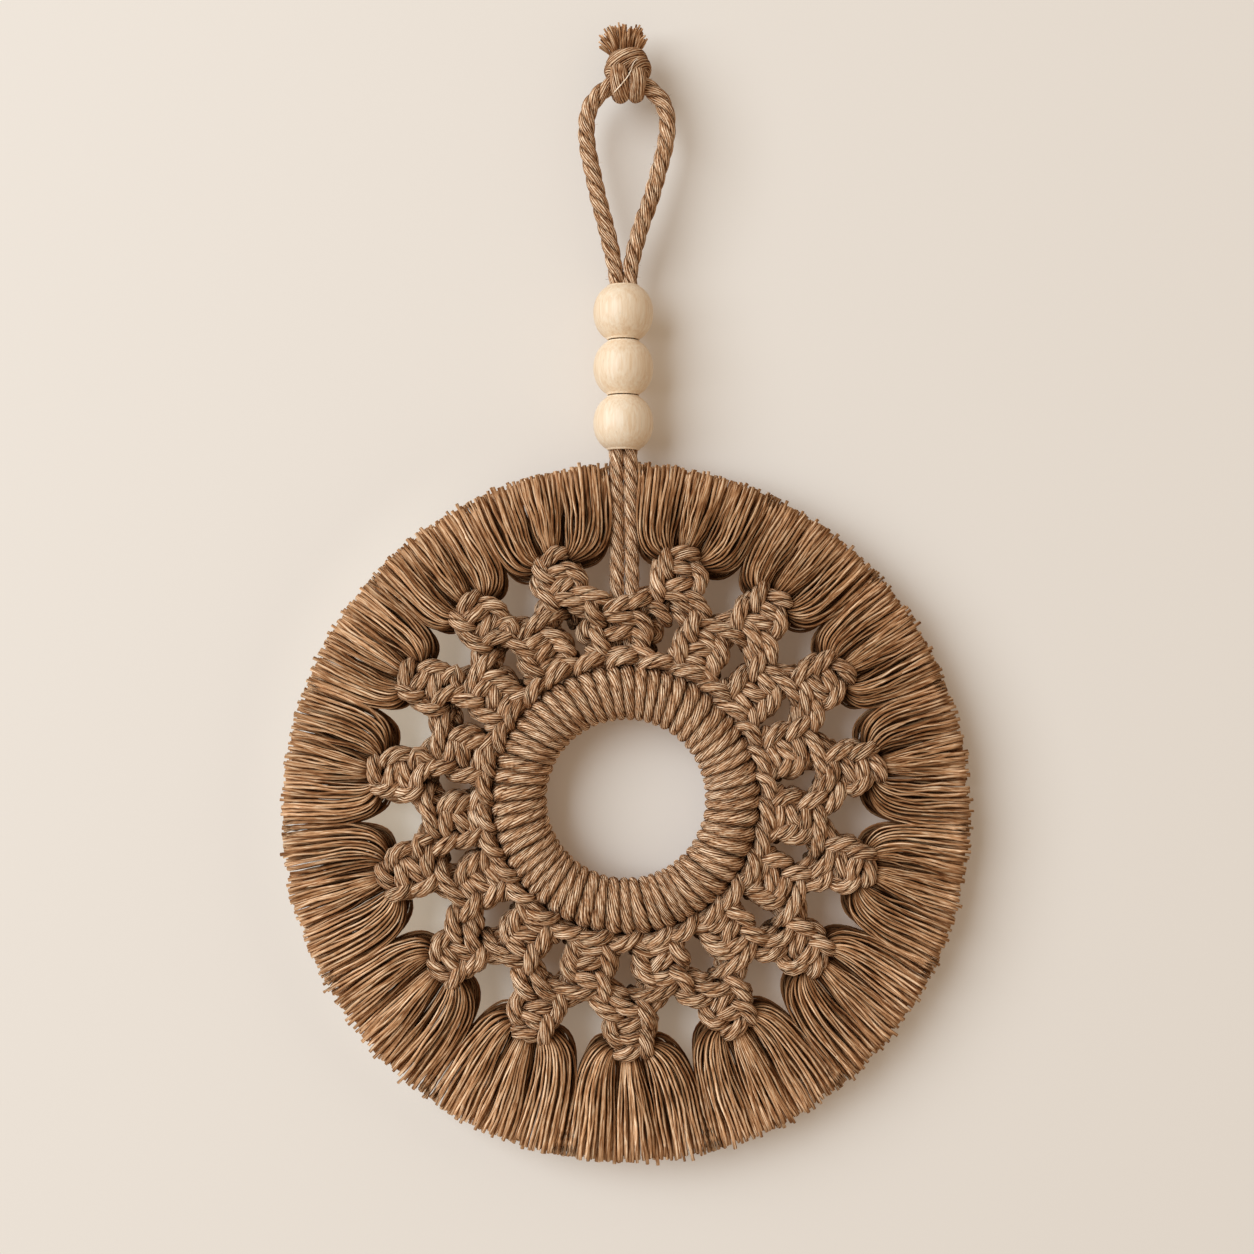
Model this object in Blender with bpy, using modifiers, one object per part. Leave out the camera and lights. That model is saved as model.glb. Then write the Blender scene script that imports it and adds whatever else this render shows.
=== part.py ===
"""Macrame wall hanging: a wrapped ring, a net of square knots round it, fifteen tassels and a beaded hanger.

The front faces -Y, +Z is up, and the origin is the hang point, on the underside of the top knot. Angles round
the ring are in degrees, clockwise from the top as seen from the front. Lengths are in millimetres until
place() turns them into metres.
"""

import math

import bmesh
import bpy
from mathutils import Vector

MM = 0.001
GAP = 0.3  # between pieces that touch
MERGE = 0.01  # points closer than this are one

# Rope: three plies, so one full turn of the lay passes three of them.
LAY = 16.0
PLIES = 3

# Ring, wrapped with one layer of rope.
RING_Z = -232.0
RING_R = 35.8
TUBE_R = 9.5
WRAPS = 60
TUBE_SIDES = 8
WRAP_GROOVE = 0.7

# Net: 15 inner square knots, 15 outer ones set half a pitch on, and the row of lark's heads at the ring.
INNER_HALF = 8.7  # half the width of an inner knot
TOP_HALF = 14.0  # the top one also holds the hanger
ARCH_HALF = 10.8  # an outer knot ends in an arch of this half width
ARCH_FOOT = 75.3  # the radius where the arch starts
ARCH_RISE = 13.8
ARCH_POWER = 2.4
TOP_ROW_HALF = 5.2
SECTOR = 8  # columns of the net's sheet to one sector: 6 across a knot, 2 across the gap beside it
INNER_GAP = SECTOR - 1  # the column in the middle of the gap beside an inner knot
KNOT_END = SECTOR - 2  # the last column of a knot
HALF_PITCH = SECTOR // 2  # the first column of an outer knot
OUTER_GAP = HALF_PITCH - 1
WINDOW_ROWS = range(2, 8)
TAB_ROW = 10  # the first row of the outer knots alone
GAP_LOBE = 0.8  # height of the rope beside a gap, as a share of the lobes'
LEAST_HEIGHT = 0.6  # a hollow between bars and lobes is at least this share of the lower one's height

# Tassels: a head strip round each outer knot, and locks that fan out to the rim.
RIM_R = 114.7
RIM_DROP = 4.5  # the rim's centre hangs this far below the ring's
RIM_OVAL = 1.8  # and it is this much taller than round
HEAD_GAP = 0.7
HEAD_THICK = 1.3
HEAD_DEPTH = 4.4
HEAD_FOOT = 81.6
BEND = 0.3  # how far out from its root a lock turns towards its place on the rim, as a share of the way
CELLS = 8
RIM_MARGIN = 0.1  # degrees kept clear at each side of a tassel
TASSEL_BULGE = 3.6  # a tassel is up to a quarter of this deeper half way out than at its head
# How far along a lock each section is, and the share of its cell's width that it takes.
LOCK_STATIONS = ((0.0, 0.72), (0.4, 0.86), (0.985, 0.86))
UNEVEN_CUT = 0.012  # locks end this much longer or shorter, as a share of their length
ARCH_FINE = 400

# Beads.
BEAD_X = -0.9
BEAD_R = 10.0
BEAD_HIGH = 18.4
BEAD_BORE = 5.0
BEAD_MOUTH = 5.35
BEAD_CHAMFER = 0.5
BEAD_FLANK = 0.92  # the lower this power, the straighter the flank; 1 is an ellipse
BEAD_STEPS = 10
BEADS = 3
BEADS_TOP = -60.8
BEAD_TURNS = 18

# Hanger legs and top knot.
LEG_R = 2.2
LEG_WAIST = 1.75
LEG_FOOT_R = 69.15  # how far above the ring's centre the legs end, just over the top knot's bar
LEG_STEPS_A_TURN = 8
HIDDEN_STEP = 9.0
HIDDEN_MARGIN = 3.0  # a leg's twist is modelled this far into the beads
KNOT_X = 0.5
KNOT_SIDES = 12
KNOT_CREASE = 6  # power that narrows the middle groove
KNOT_CAP = 0.5
BAND_LEVEL = 5  # from this ring up the knot is its band, which climbs to the right
BAND_CLIMB = 0.08
TUFT_TOP = 26.7
TUFT_X = -2.2
TUFT_SPREAD = 5.8
TUFT_DEPTH = 4.0
TUFT_UNEVEN = 1.6
# How far up a strand of the tuft each section is, and its size against the strand's root face.
TUFT_STATIONS = ((0.0, 0.6), (0.5, 0.95), (1.0, 1.25))

# Colours, as linear red, green and blue.
RING_BROWN = (0.30, 0.17, 0.09)
NET_BROWN = (0.28, 0.16, 0.085)
YARN_BROWN = (0.26, 0.14, 0.07)
HANGER_BROWN = (0.38, 0.23, 0.12)
KNOT_BROWN = (0.27, 0.155, 0.08)
PALE_WOOD = (0.82, 0.64, 0.42)
ROPE_ROUGHNESS = 0.9
WOOD_ROUGHNESS = 0.55

# One row for each sector, in degrees: the inner knot, the outer knot, and where its tassel starts and ends.
SECTORS = (
    # inner, outer, tassel start, tassel end
    (-2.0, 13.5, 3.6, 26.5),
    (26.7, 36.5, 26.5, 48.5),
    (50.0, 59.0, 48.5, 69.5),
    (73.0, 82.0, 69.5, 95.0),
    (96.0, 106.5, 95.0, 119.0),
    (119.0, 130.0, 119.0, 143.0),
    (142.5, 154.0, 143.0, 166.0),
    (168.0, 179.0, 166.0, 190.0),
    (193.0, 203.0, 190.0, 214.0),
    (216.5, 227.5, 214.0, 238.5),
    (241.0, 252.0, 238.5, 265.0),
    (263.0, 276.5, 265.0, 290.0),
    (286.0, 300.0, 290.0, 311.0),
    (308.0, 321.0, 311.0, 332.0),
    (331.0, 343.0, 332.0, 355.4),
)

# The net's rows from the ring outwards: radius, the height of the middle column's bars and of the side lobes,
# and how far the lobes swell past the knot's half width.
NET_ROWS = (
    # radius, bar height, lobe height, swell
    (45.75, 0.0, 0.0, 0.0),
    (47.5, 4.6, 4.9, 0.0),
    (49.5, 3.2, 3.3, 0.0),
    (51.3, 5.4, 4.4, -0.4),
    (53.8, 3.7, 5.6, 0.7),
    (56.0, 6.0, 5.4, 0.4),
    (58.5, 4.0, 4.2, -0.6),
    (61.0, 6.2, 5.6, 0.7),
    (63.5, 4.0, 4.8, 0.2),
    (66.2, 5.8, 6.0, 0.0),
    (68.8, 3.6, 4.2, 0.0),
    (70.8, 5.6, 4.4, -0.3),
    (73.0, 3.8, 5.6, 0.8),
    (75.2, 6.0, 5.6, 0.6),
    (77.8, 4.0, 4.3, -0.5),
    (80.6, 6.2, 5.6, 0.0),
    (83.6, 4.2, 5.0, 0.0),
    (86.4, 5.6, 3.4, 0.0),
    (89.1, 0.0, 0.0, 0.0),
)

# Where the seven columns of a knot stand across its half width, and how high each is of its row's bar, lobe.
KNOT_COLUMNS = (
    # place, share of the bar height, share of the lobe height
    (-1.0, 0.0, 0.55),
    (-0.68, 0.0, 1.0),
    (-0.36, 0.35, 0.35),
    (0.0, 1.0, 0.0),
    (0.36, 0.35, 0.35),
    (0.68, 0.0, 1.0),
    (1.0, 0.0, 0.55),
)

# How far each row has turned from the inner knots' spacing to the outer knots'.
TURN_ROWS = {9: 0.4, 10: 0.85}

# Route of the hanger legs' centre lines, from the net up to the top knot.
LEG_ROUTE = (
    # height, left leg's x, right leg's x
    (-150.0, -3.10, 2.00),
    (-135.0, -3.20, 1.80),
    (-121.0, -3.25, 1.45),
    (-90.0, -3.25, 1.45),
    (-62.0, -3.25, 1.45),
    (-54.0, -4.00, 2.20),
    (-42.3, -6.30, 5.00),
    (-32.3, -9.10, 8.20),
    (-22.3, -11.30, 11.00),
    (-15.0, -12.80, 12.90),
    (-8.0, -13.20, 13.80),
    (-2.6, -12.40, 13.20),
)
LEG_TOP = ((1.4, -10.2, 11.3), (4.8, -6.8, 7.8))

# The top knot's outline from the bottom up: height, half width, half depth, and the middle groove's depth.
KNOT_RINGS = (
    # height, half width, half depth, groove
    (0.5, 3.6, 3.8, 0.10),
    (3.0, 5.6, 6.0, 0.22),
    (6.6, 6.2, 6.8, 0.25),
    (9.4, 5.8, 6.0, 0.15),
    (11.2, 7.4, 7.0, 0.0),
    (13.8, 7.8, 7.4, 0.0),
    (16.2, 5.6, 5.4, 0.0),
    (17.0, 3.4, 3.2, 0.0),
)


def place(x, y, z):
    """A point in millimetres, as a vector in metres."""
    return Vector((x, y, z)) * MM


def polar(degrees, radius, y):
    """A point round the ring: degrees clockwise from the top, distance from the ring's centre, depth."""
    turn = math.radians(degrees)
    return place(radius * math.sin(turn), y, RING_Z + radius * math.cos(turn))


def rim_radius(degrees):
    """How far the fringe reaches from the ring's centre."""
    up = math.cos(math.radians(degrees))
    return RIM_R - RIM_DROP * up + RIM_OVAL * up**2


def material(name, colour, roughness):
    """A Principled material of one colour."""
    made = bpy.data.materials.new(name)
    made.use_nodes = True
    shader = made.node_tree.nodes["Principled BSDF"]
    shader.inputs["Base Color"].default_value = (*colour, 1.0)
    shader.inputs["Roughness"].default_value = roughness
    shader.inputs["Metallic"].default_value = 0.0
    return made


def add_piece(name, mesh, finish, collection):
    """Puts a mesh in the collection as an object with its own material."""
    piece = bpy.data.objects.new(name, mesh)
    mesh.materials.append(finish)
    collection.objects.link(piece)
    return piece


def mesh_from(bm, name):
    """Closes the work on a bmesh: normals out, shaded smooth, and the bmesh freed."""
    bmesh.ops.recalc_face_normals(bm, faces=bm.faces)
    mesh = bpy.data.meshes.new(name)
    bm.to_mesh(mesh)
    bm.free()
    mesh.shade_smooth()
    return mesh


# ---------------------------------------------------------------- ring


def build_ring(collection):
    """The wrapped ring: a torus whose every second section is drawn in, so that each wrap is a ridge."""
    bpy.ops.mesh.primitive_torus_add(
        major_segments=2 * WRAPS,
        minor_segments=TUBE_SIDES,
        major_radius=RING_R * MM,
        minor_radius=TUBE_R * MM,
        location=place(0, 0, RING_Z),
        rotation=(math.pi / 2, 0, 0),
    )
    ring = bpy.context.object
    ring.name = "wrapped_ring"
    for home in ring.users_collection:
        home.objects.unlink(ring)
    collection.objects.link(ring)
    groove = 1 - WRAP_GROOVE / TUBE_R
    for vertex in ring.data.vertices:
        across = Vector((vertex.co.x, vertex.co.y, 0))
        section = round(math.atan2(across.y, across.x) / (math.pi / WRAPS))
        if section % 2:
            centre = across.normalized() * RING_R * MM
            vertex.co = centre + (vertex.co - centre) * groove
    ring.data.shade_smooth()
    ring.data.materials.append(material("wrapping_rope", RING_BROWN, ROPE_ROUGHNESS))
    return ring


# ---------------------------------------------------------------- net


def arch_half(radius):
    """Half the width of an outer knot at a radius: straight sides, then a superellipse over its arch."""
    if radius <= ARCH_FOOT:
        return ARCH_HALF
    share = (radius - ARCH_FOOT) / ARCH_RISE
    return ARCH_HALF * max(0.0, 1 - share**ARCH_POWER) ** (1 / ARCH_POWER)


def arch_radius(x):
    """The radius of the arch's outline at x to one side of the knot's middle."""
    share = min(1.0, abs(x) / ARCH_HALF)
    return ARCH_FOOT + ARCH_RISE * (1 - share**ARCH_POWER) ** (1 / ARCH_POWER)


def inner_edge(sector, column, radius, half):
    """The angle of a column of the inner knots, whose half width is half but for the wider one at the top."""
    lap, k = divmod(sector, len(SECTORS))
    half += TOP_HALF - INNER_HALF if k == 0 else 0.0
    return SECTORS[k][0] + 360 * lap + math.degrees(half / radius) * KNOT_COLUMNS[column][0]


def outer_edge(sector, column, radius, half):
    """The angle of a column of the outer knots, whose half width is half."""
    lap, k = divmod(sector, len(SECTORS))
    return SECTORS[k][1] + 360 * lap + math.degrees(half / radius) * KNOT_COLUMNS[column][0]


def net_point(sector, column, row):
    """The angle and radius of a point of the net's sheet."""
    radius, _, _, swell = NET_ROWS[row]
    last = row == len(NET_ROWS) - 1
    half = INNER_HALF + swell
    if column < INNER_GAP:
        inner = inner_edge(sector, column, radius, half)
    else:
        beside = inner_edge(sector, KNOT_END, radius, half), inner_edge(sector + 1, 0, radius, half)
        inner = sum(beside) / 2
    half = TOP_ROW_HALF if last else arch_half(radius) + swell
    if column >= HALF_PITCH:
        knot, across = sector, column - HALF_PITCH
    else:
        knot, across = sector - 1, column + HALF_PITCH
    if last:
        radius = arch_radius(half * KNOT_COLUMNS[min(across, KNOT_END)][0])
    if column == OUTER_GAP:
        beside = outer_edge(knot, KNOT_END, radius, half), outer_edge(sector, 0, radius, half)
        outer = sum(beside) / 2
    else:
        outer = outer_edge(knot, across, radius, half)
    turned = TURN_ROWS.get(row, 0.0 if row < TAB_ROW else 1.0)
    return inner * (1 - turned) + outer * turned, radius


def net_height(column, row):
    """How far a point of the sheet stands out: bars across the middle of a knot, lobes down its sides."""
    _, bar, lobe, _ = NET_ROWS[row]
    gap, across = (INNER_GAP, column) if row < TAB_ROW else (OUTER_GAP, (column + HALF_PITCH) % SECTOR)
    if column == gap:
        return GAP_LOBE * lobe
    _, of_bar, of_lobe = KNOT_COLUMNS[across]
    return max(bar * of_bar + lobe * of_lobe, LEAST_HEIGHT * min(bar, lobe))


def in_gap(column, row):
    """Whether the cell of the sheet that starts at a column and row is open."""
    beside_inner = column in (KNOT_END, INNER_GAP) and row in WINDOW_ROWS
    beside_outer = column in (OUTER_GAP - 1, OUTER_GAP) and row >= TAB_ROW
    return beside_inner or beside_outer


def build_net(collection):
    """The knotted net: one sheet of cells bent round the ring, with its gaps taken out.

    It is doubled, closed at its edges and raised into bars and lobes.
    """
    columns, rows = SECTOR * len(SECTORS), len(NET_ROWS) - 1
    bm = bmesh.new()
    bmesh.ops.create_grid(bm, x_segments=columns, y_segments=rows, size=1.0)
    height = bm.verts.layers.float.new("height")
    column_of = bm.verts.layers.int.new("column")
    row_of = bm.verts.layers.int.new("row")
    for vertex in bm.verts:
        vertex[column_of] = round((vertex.co.x + 1) / 2 * columns)
        vertex[row_of] = round((vertex.co.y + 1) / 2 * rows)
    open_cells = [
        face
        for face in bm.faces
        if in_gap(
            min(v[column_of] for v in face.verts) % SECTOR,
            min(v[row_of] for v in face.verts),
        )
    ]
    bmesh.ops.delete(bm, geom=open_cells, context="FACES")
    for vertex in bm.verts:
        sector, column = divmod(vertex[column_of], SECTOR)
        angle, radius = net_point(sector, column, vertex[row_of])
        vertex.co = polar(angle, radius, 0)
        vertex[height] = net_height(column, vertex[row_of])
    bmesh.ops.remove_doubles(bm, verts=bm.verts, dist=MERGE * MM)
    split_corners(bm)
    for vertex in bm.verts:
        if vertex.is_boundary:
            vertex[height] = 0.0
    back = bmesh.ops.duplicate(bm, geom=bm.verts[:] + bm.edges[:] + bm.faces[:])["geom"]
    behind = {item for item in back if isinstance(item, bmesh.types.BMVert)}
    for vertex in bm.verts:
        side = 1 if vertex in behind else -1
        vertex.co.y = side * vertex[height] * MM
    bmesh.ops.reverse_faces(bm, faces=[f for f in back if isinstance(f, bmesh.types.BMFace)])
    bmesh.ops.remove_doubles(bm, verts=bm.verts, dist=MERGE * MM)
    finish = material("net_rope", NET_BROWN, ROPE_ROUGHNESS)
    return add_piece("knotted_net", mesh_from(bm, "knotted_net"), finish, collection)


def split_corners(bm):
    """Cuts each cell with one inner point from there to the corner across: no face lies on the edge."""
    for face in list(bm.faces):
        inside = [vertex for vertex in face.verts if not vertex.is_boundary]
        if len(face.verts) == 4 and len(inside) == 1:
            corners = list(face.verts)
            across = corners[(corners.index(inside[0]) + 2) % 4]
            bmesh.utils.face_split(face, inside[0], across)


# ---------------------------------------------------------------- tassels


def arch_points(grow, count):
    """count + 1 points (x, radius) along the arch round an outer knot, evenly apart.

    The arch is the knot's superellipse grown outwards, from HEAD_FOOT on one side to HEAD_FOOT on the other.
    """
    half, rise = ARCH_HALF + grow, ARCH_RISE + grow
    power = 2 / ARCH_POWER
    line = []
    for step in range(ARCH_FINE + 1):
        turn = math.pi * step / ARCH_FINE
        x = -half * math.copysign(abs(math.cos(turn)) ** power, math.cos(turn))
        radius = ARCH_FOOT + rise * math.sin(turn) ** power
        if radius >= HEAD_FOOT:
            line.append((x, radius))
    along = [0.0]
    for a, b in zip(line, line[1:]):
        along.append(along[-1] + math.dist(a, b))
    points, at = [], 0
    for index in range(count + 1):
        wanted = along[-1] * index / count
        while at < len(along) - 2 and along[at + 1] < wanted:
            at += 1
        share = (wanted - along[at]) / (along[at + 1] - along[at])
        points.append(tuple(a + (b - a) * share for a, b in zip(line[at], line[at + 1])))
    return points


def tassel_point(sector, across, depth, along, arch):
    """A point of a tassel's bulk.

    across runs 0 to 1 over the fan, depth -1 to 1 from back to front, and along 0 to 1 from the head strip to
    the rim. The line is a quadratic curve that leans out to its own angle on the rim, where it runs radially.
    """
    _, middle, start, end = SECTORS[sector]
    cell = min(int(across * CELLS), CELLS - 1)
    share = across * CELLS - cell
    x, radius = (a + (b - a) * share for a, b in zip(arch[cell], arch[cell + 1]))
    root = polar(middle + math.degrees(x / radius), radius, 0)
    rim_angle = start + RIM_MARGIN + (end - start - 2 * RIM_MARGIN) * across
    reach = rim_radius(rim_angle)
    tip = polar(rim_angle, reach, 0)
    bend = polar(rim_angle, radius + BEND * (reach - radius), 0)
    point = root * (1 - along) ** 2 + bend * 2 * along * (1 - along) + tip * along**2
    bulge = HEAD_DEPTH + TASSEL_BULGE * along * (1 - along)
    point.y = -depth * bulge * MM
    return point


def grow_lock(bm, face, corners, stations, put):
    """Pulls one face out into a lock of yarn.

    corners are its own coordinates, and each station is (along, share). put(across, depth, along) gives the
    point, and share is how much of its cell's width the lock takes there.
    """
    middle = [sum(c[i] for c in corners) / len(corners) for i in (0, 1)]
    for along, share in stations:
        face = bmesh.ops.extrude_discrete_faces(bm, faces=[face])["faces"][0]
        for vertex, corner in zip(face.verts, corners):
            across, depth = (m + (c - m) * share for m, c in zip(middle, corner))
            vertex.co = put(across, depth, along)


def build_tassel(sector, collection, finish):
    """One tassel: a head strip round its outer knot, with two locks to a cell that fan out to the rim."""
    outer = arch_points(HEAD_GAP + HEAD_THICK, CELLS)
    inner = arch_points(HEAD_GAP, CELLS)
    middle = SECTORS[sector][1]
    bm = bmesh.new()
    bmesh.ops.create_grid(bm, x_segments=CELLS, y_segments=1, size=1.0)
    column_of = bm.verts.layers.int.new("column")
    front_of = bm.verts.layers.int.new("front")
    for vertex in bm.verts:
        vertex[column_of] = round((vertex.co.x + 1) / 2 * CELLS)
        vertex[front_of] = 1 if vertex.co.y > 0 else -1
    sheet = bm.faces[:]
    lid = bmesh.ops.extrude_face_region(bm, geom=sheet, use_keep_orig=True)["geom"]
    lid_faces = [item for item in lid if isinstance(item, bmesh.types.BMFace)]
    lid_verts = {item for item in lid if isinstance(item, bmesh.types.BMVert)}
    for vertex in bm.verts:
        x, radius = (outer if vertex in lid_verts else inner)[vertex[column_of]]
        angle = middle + math.degrees(x / radius)
        vertex.co = polar(angle, radius, -vertex[front_of] * HEAD_DEPTH)
    bmesh.ops.recalc_face_normals(bm, faces=bm.faces)
    cells = bmesh.ops.triangulate(bm, faces=lid_faces, quad_method="FIXED")["faces"]

    def put(across, depth, along):
        return tassel_point(sector, across, depth, along, outer)

    for index, face in enumerate(cells):
        corners = [(v[column_of] / CELLS, v[front_of]) for v in face.verts]
        *stations, (end, share) = LOCK_STATIONS
        uneven = UNEVEN_CUT * math.sin(5.1 * index + 2.3 * sector)
        grow_lock(bm, face, corners, (*stations, (end + uneven, share)), put)
    name = f"tassel_{sector + 1:02d}"
    return add_piece(name, mesh_from(bm, name), finish, collection)


# ---------------------------------------------------------------- beads


def build_bead(name, top, collection, finish):
    """A barrel bead with a flat mouth at each end and a through bore, turned from its profile."""
    half = BEAD_HIGH / 2 - GAP / 2
    middle = top - BEAD_HIGH / 2
    end = math.acos((BEAD_MOUTH / BEAD_R) ** (1 / BEAD_FLANK))
    tall = half / math.sin(end)
    profile = []
    for step in range(BEAD_STEPS + 1):
        turn = end * (1 - 2 * step / BEAD_STEPS)
        profile.append((BEAD_R * math.cos(turn) ** BEAD_FLANK, tall * math.sin(turn)))
    profile.append((BEAD_BORE, BEAD_CHAMFER - half))
    profile.append((BEAD_BORE, half - BEAD_CHAMFER))
    mesh = bpy.data.meshes.new(name)
    edges = [(i, (i + 1) % len(profile)) for i in range(len(profile))]
    mesh.from_pydata([(r * MM, 0, z * MM) for r, z in profile], edges, [])
    bead = add_piece(name, mesh, finish, collection)
    bead.location = place(BEAD_X, 0, middle)
    turn = bead.modifiers.new("turn", "SCREW")
    turn.axis = "Z"
    turn.steps = turn.render_steps = BEAD_TURNS
    turn.use_merge_vertices = True
    turn.merge_threshold = MERGE * MM
    turn.use_smooth_shade = True
    return bead


# ---------------------------------------------------------------- hanger


def leg_step(z):
    """Spacing of a leg's sections: fine where its twist shows, coarse inside the beads."""
    inside = BEADS_TOP - BEADS * BEAD_HIGH + HIDDEN_MARGIN < z / MM < BEADS_TOP - HIDDEN_MARGIN
    return (HIDDEN_STEP if inside else LAY / LEG_STEPS_A_TURN) * MM


def smooth_line(points):
    """Points about a leg's step apart on a Catmull-Rom curve through the points."""
    ends = [points[0] * 2 - points[1], *points, points[-1] * 2 - points[-2]]
    line = []
    for a, b, c, d in zip(ends, ends[1:], ends[2:], ends[3:]):
        count = max(1, round((c - b).length / leg_step((b.z + c.z) / 2)))
        for index in range(count):
            t = index / count
            line.append(
                0.5
                * (
                    2 * b
                    + (c - a) * t
                    + (2 * a - 5 * b + 4 * c - d) * t**2
                    + (3 * b - a - 3 * c + d) * t**3
                )
            )
    line.append(points[-1])
    return line


def build_leg(name, side, collection, section, finish):
    """One leg of the hanger: a three-lobed section carried up its route and turned with the rope's lay."""
    route = [(RING_Z + LEG_FOOT_R, *LEG_ROUTE[0][1:]), *LEG_ROUTE, *LEG_TOP]
    points = [place(row[side], 0, row[0]) for row in route]
    line = smooth_line(points)
    curve = bpy.data.curves.new(name, "CURVE")
    curve.dimensions = "3D"
    curve.bevel_mode = "OBJECT"
    curve.bevel_object = section
    curve.use_fill_caps = True
    spline = curve.splines.new("POLY")
    spline.points.add(len(line) - 1)
    travelled = 0.0
    for index, point in enumerate(line):
        if index:
            travelled += (point - line[index - 1]).length
        spline.points[index].co = (*point, 1.0)
        spline.points[index].tilt = 2 * math.pi * travelled / (LAY * MM)
    spline.use_smooth = True
    leg = bpy.data.objects.new(name, curve)
    curve.materials.append(finish)
    collection.objects.link(leg)
    return leg


def rope_section(collection):
    """The rope's section as a flat closed curve: one lobe for each ply."""
    curve = bpy.data.curves.new("rope_section", "CURVE")
    curve.dimensions = "2D"
    spline = curve.splines.new("POLY")
    spline.points.add(2 * PLIES - 1)
    for index, point in enumerate(spline.points):
        radius = (LEG_WAIST if index % 2 else LEG_R) * MM
        turn = -math.pi * index / PLIES
        point.co = (radius * math.cos(turn), radius * math.sin(turn), 0, 1)
    spline.use_cyclic_u = True
    guide = bpy.data.objects.new("rope_section", curve)
    guide.hide_render = True
    guide.display_type = "WIRE"
    collection.objects.link(guide)
    return guide


def build_top_knot(collection):
    """The knot that closes the loop: a round form with a band over two lobes, its frayed ends above it."""
    bm = bmesh.new()
    rings = len(KNOT_RINGS)
    bmesh.ops.create_uvsphere(bm, u_segments=KNOT_SIDES, v_segments=rings + 1, radius=1.0)
    levels = sorted({round(v.co.z, 4) for v in bm.verts})
    top = max(bm.verts, key=lambda v: v.co.z)
    fan = list(top.link_faces)
    for vertex in bm.verts:
        level = levels.index(round(vertex.co.z, 4))
        turn = math.atan2(vertex.co.y, vertex.co.x)
        if level in (0, rings + 1):
            vertex.co = place(KNOT_X, 0, 0.0 if level == 0 else KNOT_RINGS[-1][0] + KNOT_CAP)
            continue
        height, half_x, half_y, groove = KNOT_RINGS[level - 1]
        dent = 1 - groove * abs(math.sin(turn)) ** KNOT_CREASE
        tilt = BAND_CLIMB * half_x * math.cos(turn) if level >= BAND_LEVEL else 0.0
        vertex.co = place(
            KNOT_X + half_x * math.cos(turn), half_y * math.sin(turn) * dent, height + tilt
        )
    for face in fan:
        corners = [tuple(v.co) for v in face.verts]
        middle = Vector([sum(c[i] for c in corners) / 3 for i in range(3)])
        out = Vector((middle.x - KNOT_X * MM, middle.y, 0)).normalized()
        height = TUFT_TOP - TUFT_UNEVEN * abs(math.sin(3 * out.x + out.y))
        lean = place(TUFT_X + TUFT_SPREAD * out.x, TUFT_DEPTH * out.y, height)
        for share, size in TUFT_STATIONS:
            face = bmesh.ops.extrude_discrete_faces(bm, faces=[face])["faces"][0]
            centre = middle.lerp(lean, share)
            for vertex, corner in zip(face.verts, corners):
                vertex.co = centre + (Vector(corner) - middle) * size
    finish = material("top_knot_rope", KNOT_BROWN, ROPE_ROUGHNESS)
    return add_piece("top_knot", mesh_from(bm, "top_knot"), finish, collection)


def main():
    for item in list(bpy.data.objects):
        bpy.data.objects.remove(item, do_unlink=True)
    parts = bpy.data.collections.new("macrame_wall_hanging")
    guides = bpy.data.collections.new("guides")
    for collection in (parts, guides):
        bpy.context.scene.collection.children.link(collection)
    build_ring(parts)
    build_net(parts)
    for sector in range(len(SECTORS)):
        finish = material(f"tassel_yarn_{sector + 1:02d}", YARN_BROWN, ROPE_ROUGHNESS)
        build_tassel(sector, parts, finish)
    for index, name in enumerate(("bead_top", "bead_middle", "bead_bottom")):
        finish = material(f"pale_wood_{name}", PALE_WOOD, WOOD_ROUGHNESS)
        build_bead(name, BEADS_TOP - index * BEAD_HIGH, parts, finish)
    section = rope_section(guides)
    for side, name in ((1, "hanger_leg_left"), (2, "hanger_leg_right")):
        finish = material(f"{name}_rope", HANGER_BROWN, ROPE_ROUGHNESS)
        build_leg(name, side, parts, section, finish)
    build_top_knot(parts)


main()
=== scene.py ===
"""Scene for a round macrame wall hanging of brown cotton rope, with a beaded hanger.

Every piece stands for solids of the fixed frame and lies where they lie. Lengths are in millimetres, and
mesh_object turns them into metres. Angles round the ring are in degrees, clockwise from the top as seen from
the front, which faces -Y. Depth counts towards the viewer, so it is -y.
"""

import logging
from collections import defaultdict
from collections.abc import Callable
from dataclasses import dataclass, field
from enum import Enum
from functools import partial
from typing import Any

import bpy
import numpy as np
from bpy.types import Material, Node, NodeSocket, NodeTree, Object
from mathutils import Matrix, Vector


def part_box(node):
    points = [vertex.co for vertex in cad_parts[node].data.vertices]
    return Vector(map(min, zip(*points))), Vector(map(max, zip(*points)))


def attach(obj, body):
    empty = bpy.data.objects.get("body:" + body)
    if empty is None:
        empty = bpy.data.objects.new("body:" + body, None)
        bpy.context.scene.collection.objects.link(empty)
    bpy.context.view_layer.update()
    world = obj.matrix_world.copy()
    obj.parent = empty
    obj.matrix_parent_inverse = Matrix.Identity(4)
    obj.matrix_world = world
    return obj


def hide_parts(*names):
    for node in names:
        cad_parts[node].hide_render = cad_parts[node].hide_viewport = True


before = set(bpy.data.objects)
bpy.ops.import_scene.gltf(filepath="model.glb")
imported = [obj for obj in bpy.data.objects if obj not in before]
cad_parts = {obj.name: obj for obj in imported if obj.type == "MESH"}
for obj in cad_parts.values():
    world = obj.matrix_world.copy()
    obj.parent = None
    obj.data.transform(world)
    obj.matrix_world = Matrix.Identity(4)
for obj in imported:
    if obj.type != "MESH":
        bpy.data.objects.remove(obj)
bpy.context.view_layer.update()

LOG = logging.getLogger("macrame_wall_hanging")
Array = np.ndarray
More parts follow.
